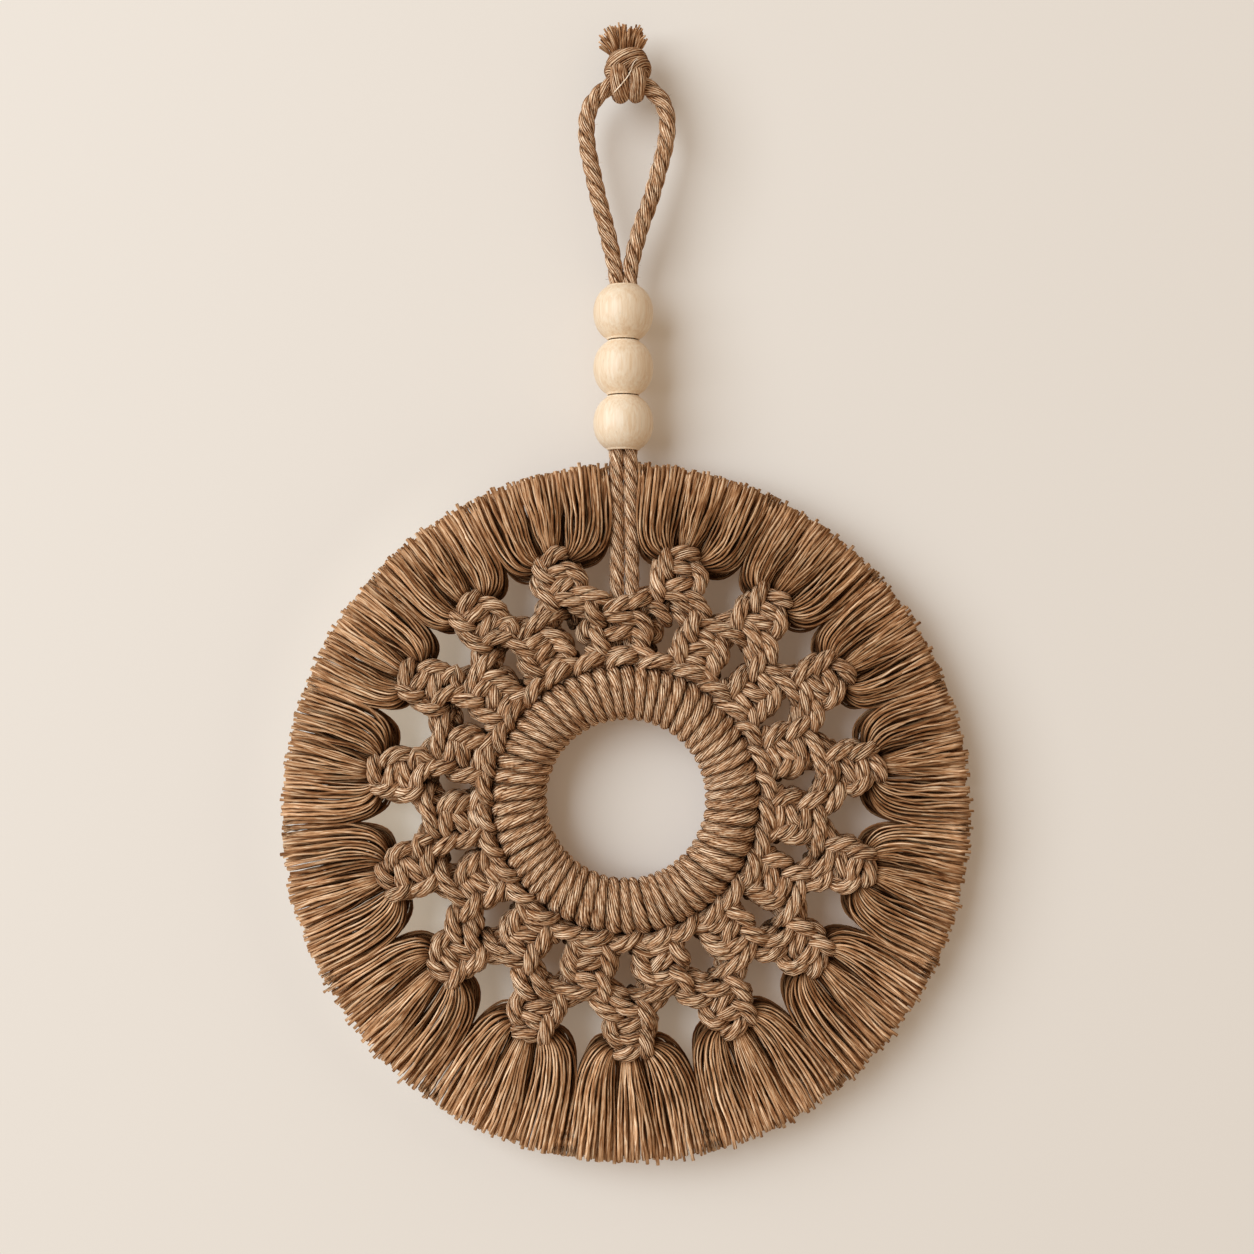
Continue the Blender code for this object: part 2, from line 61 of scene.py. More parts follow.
Adder = Callable[..., Node]  # add_node for one material's tree
Point = tuple[float, float, float]
Pair = tuple[float, float]
Route = tuple[Point, ...]
MM = 0.001
SEED = 20
FINE = 12  # points between two control points when a route is measured
CROWDED = 0.88  # painted shade: how much light the sides of a yarn lose to its neighbours

RING_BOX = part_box("wrapped_ring")
RING_Z = (RING_BOX[0].z + RING_BOX[1].z) / 2 / MM
RING_OUT = (RING_BOX[1].x - RING_BOX[0].x) / 2 / MM


class Face(Enum):
    """The hanging's two faces. The back is the front turned half a turn about each knot's own radius."""

    FRONT = 1
    BACK = -1


# ---- shapes


def unit(vectors: Array) -> Array:
    """Vectors at length 1."""
    return vectors / np.maximum(np.linalg.norm(vectors, axis=-1, keepdims=True), 1e-9)


def polar(degrees: Array, out: Array | float, depth: Array | float) -> Array:
    """Points round the ring: x = out sin a, y = -depth, z = ring's centre + out cos a."""
    turn, out, depth = np.broadcast_arrays(np.radians(degrees), out, depth)
    return np.stack([out * np.sin(turn), -depth, RING_Z + out * np.cos(turn)], axis=-1)


def travelled(path: Array) -> Array:
    """How far along each path its points are: the running sum of the steps between them."""
    steps = np.linalg.norm(np.diff(path, axis=1), axis=-1)
    return np.concatenate([np.zeros((len(path), 1)), np.cumsum(steps, axis=1)], axis=1)


def even_curve(points: Array, count: int) -> Array:
    """Points evenly apart on smooth curves.

    Between control points b and c, with a before and d after, the curve is the Catmull-Rom cubic
    (2b + (c - a) t + (2a - 5b + 4c - d) t^2 + (3b - a - 3c + d) t^3) / 2.

    Args:
        points: control points, (strands, controls, 3).
        count: how many points each curve gets.

    Returns:
        The curves, (strands, count, 3).
    """
    first = 2 * points[:, :1] - points[:, 1:2]
    last = 2 * points[:, -1:] - points[:, -2:-1]
    ends = np.concatenate([first, points, last], axis=1)
    spans = points.shape[1] - 1
    a, b, c, d = (ends[:, i : i + spans, None] for i in range(4))
    t = (np.arange(FINE) / FINE)[:, None]
    fine = 0.5 * (2 * b + (c - a) * t + (2 * a - 5 * b + 4 * c - d) * t**2 + (3 * b - a - 3 * c + d) * t**3)
    fine = np.concatenate([fine.reshape(len(points), -1, 3), points[:, -1:]], axis=1)
    made = np.empty((len(points), count, 3))
    for strand, line, along in zip(made, fine, travelled(fine)):
        even = np.linspace(0, along[-1], count)
        for axis in range(3):
            strand[:, axis] = np.interp(even, along, line[:, axis])
    return made


def carried_sides(path: Array) -> tuple[Array, Array]:
    """A side and an up vector at each point, the side carried along the path without turning.

    Each side is the one before it, less its part along the tangent, at length 1.

    Args:
        path: centre lines, (strands, steps, 3).

    Returns:
        The side and the up vectors, shaped as the path is.
    """
    tangent = unit(np.gradient(path, axis=1))
    side = np.empty_like(path)
    level = np.cross(tangent[:, 0], (0, 1, 0))
    level[np.linalg.norm(level, axis=-1) < 0.1] = (1, 0, 0)
    side[:, 0] = unit(level)
    for i in range(1, path.shape[1]):
        lean = np.sum(side[:, i - 1] * tangent[:, i], axis=-1, keepdims=True)
        side[:, i] = unit(side[:, i - 1] - lean * tangent[:, i])
    return side, np.cross(tangent, side)


def placed(name: str, data: Any) -> Object:
    """A new object in the scene.

    Args:
        name: its name.
        data: what it holds.

    Returns:
        The object.
    """
    made = bpy.data.objects.new(name, data)
    bpy.context.scene.collection.objects.link(made)
    return made


def mesh_object(name: str, points: Array, corners: Array, sizes: Array) -> Object:
    """A smooth-shaded mesh object from whole arrays.

    Args:
        name: the piece's name.
        points: vertices in millimetres, (n, 3).
        corners: the vertex at each face corner, one face after another.
        sizes: how many corners each face has.

    Returns:
        The object, linked to the scene, with its place in its mesh.
    """
    mesh = bpy.data.meshes.new(name)
    mesh.vertices.add(len(points))
    mesh.vertices.foreach_set("co", (points * MM).astype(np.float32).ravel())
    mesh.loops.add(len(corners))
    mesh.loops.foreach_set("vertex_index", corners.astype(np.int32))
    mesh.polygons.add(len(sizes))
    mesh.polygons.foreach_set("loop_start", np.concatenate([[0], np.cumsum(sizes)[:-1]]).astype(np.int32))
    mesh.update(calc_edges=True)
    mesh.shade_smooth()
    return placed(name, mesh)


def tie(piece: Object, finish: Material, slot: str, *nodes: str) -> None:
    """Gives a piece its material and body, hides the solids it stands for, and reports it.

    Args:
        piece: the piece.
        finish: its material.
        slot: the record's material slot; not used.
        nodes: the solids it stands for.
    """
    piece.data.materials.append(finish)
    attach(piece, "root")
    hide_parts(*nodes)
    triangles = sum(len(face.vertices) - 2 for face in piece.data.polygons)
    LOG.info("%s: %d triangles, stands for %s", piece.name, triangles, ", ".join(nodes))


@dataclass(frozen=True)
class Rope:
    """One kind of laid rope: how thick it is, how it is twisted and how finely its section is drawn.

    It is S-laid: the plies of an upright rope climb to the left.
    """

    radius: float
    sides: int
    lay: float = 16  # length of one full turn of the plies
    crease: float = 0.2  # depth of the groove between plies, as a share of the radius
    plies: int = 3
    slope: float = 0.62  # how far the yarns straighten off the plies, mm across for each mm along
    line: float = 1  # how sharp the dark line of painted shade between plies is

    def section(self) -> tuple[Array, Array]:
        """The section: radius (1 - crease t^2.2), and line t, the strength of the painted shade line between
        plies, where t is 0 on a crest and 1 in a groove.
        """
        t = (self.plies > 1) * np.abs(np.mod(np.arange(self.sides) * self.plies / self.sides, 1) * 2 - 1)
        return self.radius * (1 - self.crease * t**2.2), t * self.line


FIBRE = Rope(radius=0.045, sides=3, plies=1, slope=0)


@dataclass
class StrandMesh:
    """Closed strands of rope or yarn, gathered to become one piece, with random numbers of its own."""

    seed: int
    parts: dict[str, list[Array]] = field(default_factory=lambda: defaultdict(list))
    size: int = 0

    def __post_init__(self) -> None:
        """Starts the random numbers."""
        self.rng = np.random.default_rng(SEED + self.seed)

    def lay_in(
        self,
        path: Array,
        rope: Rope,
        girth: Array | float = 1,
        sides: tuple[Array, Array] | None = None,
        tone: float = 0.1,
        shade: Array | float = 1,
        facing: Array | None = None,
        crowded: Array | float = 1,
    ) -> None:
        """Sweeps a rope along paths: path + r(t) girth (cos a side + sin a up).

        The angle is a = t + phase - 2 pi run / lay, so the plies turn as the rope runs.

        Args:
            path: centre lines, (strands, steps, 3).
            rope: the kind of rope.
            girth: thickness against the rope's own.
            sides: side and up vectors, where the carried ones don't serve, as long as the section is wide.
            tone: how much the strands differ in brightness.
            shade: brightness, with any painted shade in it.
            facing: for strands that crowd together, the way out, (strands, 1 or steps, 3). Sides that turn
            from it get painted shade, darker by CROWDED crowded (1 - cosine^1.5).
            crowded: how much of that painted shade there is.
        """
        count, steps = path.shape[:2]
        side, up = sides or carried_sides(path)
        run = travelled(path)
        round_turn = 2 * np.pi * np.arange(rope.sides + 1) / rope.sides
        radii, groove = rope.section()
        phase = self.rng.uniform(0, 2 * np.pi, (count, 1, 1))
        angle = round_turn[:-1] + phase - 2 * np.pi * run[..., None] / rope.lay
        girth, crowded = (np.broadcast_to(value, (count, steps))[..., None] for value in (girth, crowded))
        offset = (np.cos(angle) * girth * radii)[..., None] * side[:, :, None]
        offset += (np.sin(angle) * girth * radii)[..., None] * up[:, :, None]
        self._add_faces(rope, run, round_turn)
        self.parts["points"] += [(path[:, :, None] + offset).reshape(-1, 3), path[:, [0, -1]].reshape(-1, 3)]
        own = 1 + self.rng.normal(0, tone, (count, 1))
        lit = own * np.broadcast_to(shade, (count, steps))
        bare = np.ones(angle.shape)
        # Painted shade on the sides that turn from the way out, as if neighbouring strands shaded them.
        if facing is not None:
            bare = np.clip(np.sum(unit(offset) * facing[:, :, None], axis=-1), 0, 1) ** 1.5
        hidden = CROWDED * crowded * (1 - bare)
        self.parts["shade"] += [(lit[..., None] * (1 - hidden)).ravel(), lit[:, [0, -1]].ravel()]
        # Where the painted shade line between plies falls.
        self.parts["groove"] += [np.tile(groove, count * steps), np.zeros(2 * count)]
        self.size += count * (steps * rope.sides + 2)

    def _add_faces(self, rope: Rope, run: Array, round_turn: Array) -> None:
        """Adds the quads between neighbouring rings, the fans at both ends, and the fibre map of both.

        Args:
            rope: the kind of rope.
            run: how far along its path each ring is, (strands, steps).
            round_turn: the angles of a ring's points, and a full turn.
        """
        (count, steps), sides = run.shape, rope.sides
        ring = self.size + np.arange(count * steps * sides).reshape(count, steps, sides)
        centre = self.size + count * steps * sides + np.arange(2 * count).reshape(count, 2)
        after = np.roll(ring, -1, axis=2)
        quads = np.stack([ring[:, :-1], after[:, :-1], after[:, 1:], ring[:, 1:]], axis=-1)
        self.parts["quads"].append(quads.reshape(-1, 4))
        hubs = np.repeat(centre[:, :, None], sides, axis=2)
        start = np.stack([hubs[:, 0], after[:, 0], ring[:, 0]], axis=-1)
        finish = np.stack([hubs[:, 1], ring[:, -1], after[:, -1]], axis=-1)
        self.parts["tips"].append(np.concatenate([start, finish], axis=1).reshape(-1, 3))
        along = run + self.rng.uniform(0, 300, (count, 1))
        across = rope.radius * round_turn - (run * rope.slope)[..., None]
        uv = np.stack([across, np.broadcast_to(along[..., None], across.shape)], axis=-1)
        corner = [uv[:, :-1, :-1], uv[:, :-1, 1:], uv[:, 1:, 1:], uv[:, 1:, :-1]]
        self.parts["quad_uvs"].append(np.stack(corner, axis=-2).reshape(-1, 2))
        head = np.stack([uv[:, 0, :-1], uv[:, 0, 1:], uv[:, 0, :-1]], axis=-2)
        tail = np.stack([uv[:, -1, :-1], uv[:, -1, :-1], uv[:, -1, 1:]], axis=-2)
        self.parts["tip_uvs"].append(np.concatenate([head, tail], axis=1).reshape(-1, 2))

    def fuzz(self, path: Array, rope: Rope, count: int) -> None:
        """Loose fibres, 0.5 to 1.7 mm long, that stand off a rope at random places, slightly curled.

        Args:
            path: the rope's centre lines, (strands, steps, 3).
            rope: the rope.
            count: how many fibres.
        """
        rng = self.rng
        side, up = carried_sides(path)
        strand, step = rng.integers(0, len(path), count), rng.integers(1, path.shape[1] - 1, count)
        angle = rng.uniform(0, 2 * np.pi, (count, 1))
        away = np.cos(angle) * side[strand, step] + np.sin(angle) * up[strand, step]
        root = path[strand, step] + away * rope.radius * 0.85
        lean, curl = (unit(away + rng.normal(0, stray, (count, 3))) for stray in (0.5, 0.9))
        size = rng.uniform(0.5, 1.7, (count, 1))
        points = np.stack([root, root + lean * size * 0.5, root + (lean * 0.7 + curl * 0.3) * size], axis=1)
        self.lay_in(even_curve(points, 4), FIBRE, tone=0.15, shade=1.1)

    def build(self, name: str, finish: Material, slot: str, *nodes: str) -> None:
        """Makes the piece, with its fibre map and attributes, and ties it to the frame.

        Args:
            name: the piece's name.
            finish: its material.
            slot: the record's material slot.
            nodes: the solids it stands for.
        """
        made = {label: np.concatenate(arrays) for label, arrays in self.parts.items()}
        quads, tips = made["quads"], made["tips"]
        corners = np.concatenate([quads.ravel(), tips.ravel()])
        piece = mesh_object(name, made["points"], corners, np.repeat((4, 3), (len(quads), len(tips))))
        uvs = np.concatenate([made["quad_uvs"], made["tip_uvs"]]).astype(np.float32)
        piece.data.uv_layers.new(name="fibre").uv.foreach_set("vector", uvs.ravel())
        for label in ("shade", "groove"):
            attribute = piece.data.attributes.new(label, "FLOAT", "POINT")
            attribute.data.foreach_set("value", made[label].astype(np.float32))
        tie(piece, finish, slot, *nodes)


# ---- finishes


def linear(colour: str) -> tuple[float, float, float, float]:
    """An sRGB hex colour as linear red, green, blue and 1."""
    values = [int(colour[i : i + 2], 16) / 255 for i in (0, 2, 4)]
    return (*(v / 12.92 if v <= 0.04045 else ((v + 0.055) / 1.055) ** 2.4 for v in values), 1)


def feed(tree: NodeTree, node: Node, inputs: dict[Any, Any]) -> None:
    """Sets or links a node's inputs.

    Args:
        tree: the node tree.
        node: the node.
        inputs: for each input's name or number, its value, or the socket or node that feeds it. A node
            does so from its first output.
    """
    for key, value in inputs.items():
        source = value.outputs[0] if isinstance(value, Node) else value
        if isinstance(source, NodeSocket):
            tree.links.new(source, node.inputs[key])
        else:
            node.inputs[key].default_value = source


def add_node(tree: NodeTree, kind: str, *values: Any, inputs: dict | None = None, **settings: Any) -> Node:
    """Adds a node.

    Args:
        tree: the node tree.
        kind: the node's type without ShaderNode, and its operation after a dot.
        values: what feeds its first inputs, in order.
        inputs: what feeds others, by name.
        settings: the node's own settings.

    Returns:
        The node.
    """
    kind, _, operation = kind.partition(".")
    made = tree.nodes.new(f"ShaderNode{kind}")
    if operation:
        made.operation = operation
    for key, value in settings.items():
        setattr(made, key, value)
    feed(tree, made, dict(enumerate(values)) | (inputs or {}))
    return made


def set_stops(ramp: Node, *stops: tuple[float, str]) -> Node:
    """Gives a colour ramp three stops.

    Args:
        ramp: the ramp.
        stops: their places and hex colours.

    Returns:
        The ramp.
    """
    elements = ramp.color_ramp.elements
    elements.new(0.5)
    for element, (place, colour) in zip(elements, stops):
        element.position = place
        element.color = linear(colour)
    return ramp


def streaks(add: Adder, place: Any, scale: Point, detail: float, shift: float = 0, bent: float = 0) -> Node:
    """Noise with so many cells to a unit of each coordinate, moved along the first one and bent a little."""
    moved = add("Mapping", place, inputs={"Location": (shift, 0, 0), "Scale": scale})
    return add("TexNoise", moved, inputs={"Scale": 1, "Detail": detail, "Distortion": bent})


def new_material(name: str) -> tuple[Material, NodeTree, Adder, Node]:
    """Starts a material.

    Args:
        name: its name.

    Returns:
        The material, its node tree, the function that adds nodes to it, and its Principled shader.
    """
    made = bpy.data.materials.new(name)
    made.use_nodes = True
    tree = made.node_tree
    return made, tree, partial(add_node, tree), tree.nodes["Principled BSDF"]


@dataclass(frozen=True)
class SpunCotton:
    """Spun cotton, dyed brown and left matt.

    Its yarns show as fine ridges that run a little off the plies, with paler fibres and darker flecks along
    them, and it has a slight bloom at grazing angles.
    """

    name: str
    dark: str = "4C2710"
    middle: str = "C19067"
    light: str = "FEE2C0"
    streak: Pair = (0.36, 5)  # mm across and along
    patch: Pair = (3, 11)
    yarn_pitch: float = 0.85  # really about 0.75, which is too fine to show
    yarn_drift: float = 2.4  # how far the yarns wander, against their pitch
    ridges: float = 1  # how much the yarns stand out from one another
    relief: float = 0.3
    roughness: float = 0.9
    bloom: float = 0.02

    def make(self) -> Material:
        """Builds the material.

        The yarns are round ridges with sharp valleys: (2 |u - round(u)|)^0.6, where u = across / pitch +
        drift patches. The colour goes from dark to light with 0.55 lines + 0.27 flecks + 0.16 ridges yarns.
        The shade is the strand's own, which holds painted shade, times slow patches, painted shade in the
        valleys and a thin dark line of painted shade where plies meet.
        Where it is low the colour is painted deeper as well as darker, as in shade: it is raised to 1.7 - 0.7
        shade, and to at least 0.9.

        Returns:
            The material.
        """
        made, tree, add, shader = new_material(self.name)
        fibre = add("UVMap", uv_map="fibre")
        (wide, long), patch = self.streak, self.patch
        lines = streaks(add, fibre, (1 / wide, 1 / long, 1), 2)
        flecks = streaks(add, fibre, (1 / (wide * 0.8), 1 / (long * 0.25), 1), 1)
        patches = streaks(add, fibre, (1 / patch[0], 1 / patch[1], 1), 1)
        drift = add("Math.MULTIPLY", patches, self.yarn_drift)
        turn = add("Math.MULTIPLY_ADD", add("SeparateXYZ", fibre), 1 / self.yarn_pitch, drift)
        yarns = add("Math.POWER", add("Math.MULTIPLY", add("Math.PINGPONG", turn, 0.5), 2), 0.6)
        mixed = add("Math.MULTIPLY_ADD", lines, 0.55, 0.25 - 0.1 * self.ridges)
        mixed = add("Math.MULTIPLY_ADD", flecks, 0.27, mixed)
        mixed = add("Math.MULTIPLY_ADD", yarns, 0.16 * self.ridges, mixed)
        stops = (0.545, self.dark), (0.66, self.middle), (0.765, self.light)
        colour = set_stops(add("ValToRGB", mixed), *stops)
        own, groove = (add("Attribute", attribute_name=name).outputs["Fac"] for name in ("shade", "groove"))
        shade = add("Math.MULTIPLY", own, add("Math.MULTIPLY_ADD", patches, 0.6, 0.7))
        # Painted shade in the valleys between yarns.
        valley_shade = add("Math.MULTIPLY_ADD", yarns, 0.34 * self.ridges, 0.93 - 0.21 * self.ridges)
        # Painted shade: a thin dark line in the groove where two plies meet.
        line = add("Math.MULTIPLY_ADD", add("Math.POWER", groove, 5.5), -0.86, 1)
        shade = add("Math.MULTIPLY", add("Math.MULTIPLY", shade, valley_shade), line)
        # Painted shade: where the shade is low, the colour is raised to a higher power, deeper and darker.
        deep = add("Math.MAXIMUM", add("Math.MULTIPLY_ADD", shade, -0.7, 1.7), 0.9)
        coloured = add("VectorMath.SCALE", add("Gamma", colour, deep), inputs={"Scale": shade})
        height = add("Math.MULTIPLY_ADD", yarns, 0.55 * self.ridges, mixed)
        bump = add("Bump", inputs={"Height": height, "Distance": self.relief * MM, "Strength": 1})
        feed(tree, shader, {"Base Color": coloured, "Normal": bump, "Roughness": self.roughness})
        feed(tree, shader, {"Specular IOR Level": 0.08, "Sheen Weight": self.bloom, "Sheen Roughness": 0.5})
        feed(tree, shader, {"Sheen Tint": linear(self.light)})
        return made


@dataclass(frozen=True)
class SandedWood:
    """Pale unvarnished hardwood, such as schima or lotus wood, turned and sanded.

    The fine straight grain runs along the bore as faint upright streaks with a few darker pores, and sanding
    leaves it smooth and nearly matt.
    """

    name: str
    offset: float  # moves the grain, so that beads differ
    pale: str = "F9E8CE"
    middle: str = "F2DABA"
    dark: str = "E4C299"
    roughness: float = 0.5
    # Cells a metre across and along the bore, and detail. A streak of grain is 0.8 mm wide and 14 mm long.
    grain: Point = (1300, 70, 4)
    pore: Point = (2600, 180, 2)
    band: Point = (260, 24, 2)

    def make(self) -> Material:
        """Builds the material.

        Its colour goes from pale to dark with 0.6 grain + 0.3 bands, and the pores are darker by up to 0.14.

        Returns:
            The material.
        """
        made, tree, add, shader = new_material(self.name)
        place = add("TexCoord").outputs["Object"]
        grain, pores, bands = (
            streaks(add, place, (wide, wide, long), detail, self.offset, 0.4)
            for wide, long, detail in (self.grain, self.pore, self.band)
        )
        mixed = add("Math.MULTIPLY_ADD", bands, 0.3, add("Math.MULTIPLY_ADD", grain, 0.6, 0.05))
        colour = set_stops(add("ValToRGB", mixed), (0.36, self.pale), (0.52, self.middle), (0.72, self.dark))
        dots = add("MapRange", pores, 0.6, 0.78, 1, 0.86)
        coloured = add("VectorMath.SCALE", colour, inputs={"Scale": dots})
        bump = add("Bump", inputs={"Height": pores, "Distance": 0.04 * MM, "Strength": 0.5})
        feed(tree, shader, {"Base Color": coloured, "Normal": bump})
        feed(tree, shader, {"Roughness": self.roughness, "Specular IOR Level": 0.8})
        return made


# ---- the ring


@dataclass
class WrappedRing:
    """The ring, closed over with one rope: a path that turns once about the tube for each wrap."""

    finish: Material
    wraps: int = 58
    tube: float = 9.5
    steps_a_wrap: int = 34
    uneven: float = 0.055  # of the pitch
    overlap: float = 1.16  # a wrap's width against the spacing
    rope: Rope = Rope(radius=2.35, sides=18, lay=15.5, crease=0.12, line=0.88)

    def build(self) -> None:
        """Winds the rope and makes the piece.

        After w wraps the tube angle is b = 2 pi w and the ring angle a is _wound(w). The centre line is
        ring + core cos b out along a, and core sin b towards the viewer. The rope is squeezed where the
        wraps crowd on the inner side: its width follows the spacing of neighbouring wraps.
        """
        mesh = StrandMesh(0)
        core = self.tube - self.rope.radius
        ring = RING_OUT - self.tube
        w = np.linspace(0, self.wraps, self.wraps * self.steps_a_wrap + 1) - 0.25  # the ends meet at the back
        tube_angle = 2 * np.pi * w
        ring_angle = np.degrees(self._wound(w))
        out = ring + core * np.cos(tube_angle)
        path = polar(ring_angle, out, core * np.sin(tube_angle))[None]
        tangent = unit(np.gradient(path, axis=1))
        side = unit(np.cross(unit(path - polar(ring_angle, ring, 0.0)[None]), tangent))
        up = np.cross(tangent, side)
        spacing = out * (self._wound(w + 0.5) - self._wound(w - 0.5))
        wide = (spacing / 2 * self.overlap / self.rope.radius)[:, None]
        sides = side * wide, up * (1.02 - 0.04 * np.cos(tube_angle)[:, None])
        # Painted shade: each wrap darkens where it turns towards its neighbours, and is brighter overall.
        mesh.lay_in(path, self.rope, sides=sides, tone=0, shade=1.13, facing=up, crowded=0.9)
        mesh.fuzz(path, self.rope, 260)
        mesh.build("rope_wrapping", self.finish, "wrapping_rope", "wrapped_ring")

    def _wound(self, w: Array) -> Array:
        """The ring angle after w wraps.

        It is 2 pi (w + drift) / wraps, where drift is three sines that fade out where the ends meet.

        Args:
            w: how many wraps.

        Returns:
            The angle, in radians.
        """
        drift = self.uneven * (np.sin(2.7 * w) + np.sin(1.1 * w + 1) + 7 * np.sin(0.48 * w - 2.4))
        drift *= np.minimum(1, 8 * np.sin(np.pi * (w + 0.25) / self.wraps) ** 2)
        return 2 * np.pi * (w + drift) / self.wraps


# ---- the net


# Each fifteenth of the hanging: the angles of its inner and outer knot, and where its tassel starts and ends.
SECTORS = np.array(
    (
        (-2, 13.5, 2.2, 26.5), (26.7, 36.5, 26.5, 48.5), (50, 59, 48.5, 69.5), (73, 82, 69.5, 95),
        (96, 106.5, 95, 119), (119, 130, 119, 143), (142.5, 154, 143, 166), (168, 179, 166, 190),
        (193, 203, 190, 214), (216.5, 227.5, 214, 238.5), (241, 252, 238.5, 265), (263, 276.5, 265, 290),
        (286, 300, 290, 311), (308, 321, 311, 332), (331, 343, 332, 356.9),
    )
)
INNER, OUTER = SECTORS[:, :2].T

# Turns of rope in a knot. Each point is across, out from the ring's centre and towards the viewer, in tenths
# of a millimetre.
REACHING = {"right_arm": 2, "right_bar": 2}  # how many of a turn's last points are by the neighbouring knot
INNER_TURNS: dict[str, Route] = {
    "top_bar": ((-58, 626, 8), (-32, 638, 42), (18, 649, 52), (66, 654, 48), (106, 650, 26), (124, 640, -5)),
    "upper_bar": ((-46, 608, 0), (-26, 606, 42), (2, 602, 52), (26, 598, 40), (42, 594, 0)),
    "middle_bar": ((-46, 538, -5), (-26, 545, 36), (2, 554, 46), (26, 563, 36), (42, 569, -5)),
    "lower_bar": ((-50, 509, -5), (-28, 508, 34), (2, 506, 42), (28, 503, 34), (46, 500, -5)),
    "right_loop": ((18, 622, 0), (39, 608, 42), (60, 588, 52), (68, 562, 44), (62, 542, 26), (50, 532, -5)),
    "right_wrap": ((26, 580, 5), (44, 564, 42), (60, 540, 48), (65, 520, 30), (62, 508, 0)),
    "right_foot": ((18, 524, 0), (40, 514, 34), (62, 498, 36), (80, 480, 5)),
    "left_upper": ((-82, 666, 10), (-77, 646, 46), (-66, 616, 58), (-51, 589, 48), (-39, 572, 5)),
    "left_lower": ((-70, 584, 5), (-72, 564, 44), (-63, 532, 54), (-50, 504, 44), (-39, 486, 5)),
    "left_loop": ((-56, 606, -10), (-72, 588, 4), (-75, 562, 8), (-69, 536, 4), (-54, 518, -10)),
    "left_foot": ((-84, 518, 0), (-75, 504, 24), (-60, 486, 24), (-48, 470, 0)),
    "right_arm": ((20, 595, -5), (52, 622, 2), (-60, 670, 2), (-40, 710, 0)),
    "filling_left": ((-20, 465, 3), (-21, 530, 3), (-21, 600, 3), (-22, 650, 0)),
}
OUTER_TURNS: dict[str, Route] = {
    "cap": ((-40, 822, 0), (-20, 832, 38), (7, 840, 50), (32, 843, 40), (47, 836, 0)),
    "upper_bar": ((-44, 796, 0), (-23, 793, 42), (6, 787, 52), (30, 782, 40), (46, 778, 0)),
    "middle_bar": ((-46, 726, -5), (-25, 732, 36), (6, 740, 46), (30, 748, 36), (46, 753, -5)),
    "sweep": ((-50, 704, 5), (-27, 700, 44), (6, 689, 54), (35, 670, 48), (58, 648, 30), (70, 626, 0)),
    "left_upper": ((-54, 854, 0), (-58, 830, 42), (-56, 799, 58), (-44, 773, 48), (-33, 756, 5)),
    "left_lower": ((-62, 776, 5), (-67, 752, 44), (-63, 719, 56), (-50, 690, 48), (-39, 670, 5)),
    "left_loop": ((-48, 806, -10), (-66, 790, 4), (-69, 766, 8), (-64, 742, 4), (-50, 724, -10)),
    "right_loop": ((18, 812, 0), (42, 801, 42), (66, 779, 54), (72, 752, 48), (62, 729, 30), (46, 718, 0)),
    "right_bar": ((24, 718, 5), (48, 714, 42), (82, 699, 52), (-48, 673, 44), (-28, 650, 5)),
    "under_sweep": ((6, 664, -5), (30, 648, 14), (54, 628, 12), (72, 608, -5)),
    "left_arm": ((-122, 660, -5), (-98, 676, 16), (-70, 692, 16), (-40, 706, -5)),
    "right_arm": ((30, 716, -2), (60, 684, 0), (-62, 646, 0), (-44, 600, 0)),
    "filling_left": ((-20, 674, 3), (-21, 730, 3), (-21, 790, 3), (-21, 836, 0)),
}
LARKS_HEAD: Route = (
    (-53, 446, 0), (-39, 459, 40), (-9, 472, 56), (22, 479, 54), (44, 475, 28), (52, 464, -5),
)
TOP_TURNS: dict[str, Route] = {
    "top_left": ((-36, 624, 10), (-22, 636, 44), (3, 648, 56), (28, 655, 44), (42, 656, 8)),
    "top_middle": ((28, 642, 8), (44, 650, 44), (66, 658, 56), (90, 666, 42), (104, 670, 8)),
    "top_right": ((96, 656, 5), (116, 650, 32), (136, 637, 36), (152, 620, 20), (158, 606, -5)),
    "left_upper": ((-98, 670, 10), (-96, 650, 46), (-88, 624, 58), (-74, 596, 48), (-60, 578, 5)),
    "left_lower": ((-86, 586, 5), (-86, 566, 44), (-75, 538, 54), (-60, 508, 44), (-49, 488, 5)),
    "left_loop": ((-94, 606, -10), (-116, 592, 6), (-124, 572, 12), (-118, 552, 6), (-96, 538, -10)),
    "upper_bar": ((-58, 610, 0), (-34, 608, 42), (3, 603, 54), (38, 598, 42), (58, 593, 0)),
    "middle_bar": ((-56, 540, -5), (-32, 546, 38), (4, 552, 48), (36, 559, 38), (54, 564, -5)),
    "lower_bar": ((-60, 502, -5), (-34, 500, 34), (2, 497, 42), (36, 493, 34), (56, 490, -5)),
    "right_loop": ((32, 622, 0), (58, 610, 42), (80, 588, 54), (87, 562, 48), (79, 536, 30), (62, 522, -5)),
    "right_wrap": ((36, 580, 5), (54, 564, 40), (68, 540, 46), (74, 518, 30), (72, 506, 0)),
    "right_foot": ((42, 520, 0), (66, 506, 34), (92, 486, 36), (112, 468, 5)),
    "left_foot": ((-108, 518, 0), (-96, 504, 24), (-78, 486, 24), (-64, 470, 0)),
    "right_arm": ((40, 595, -5), (80, 622, 2), (-60, 670, 2), (-40, 710, 0)),
    "filling_left": ((-26, 465, 3), (-28, 530, 3), (-28, 600, 3), (-28, 650, 0)),
}


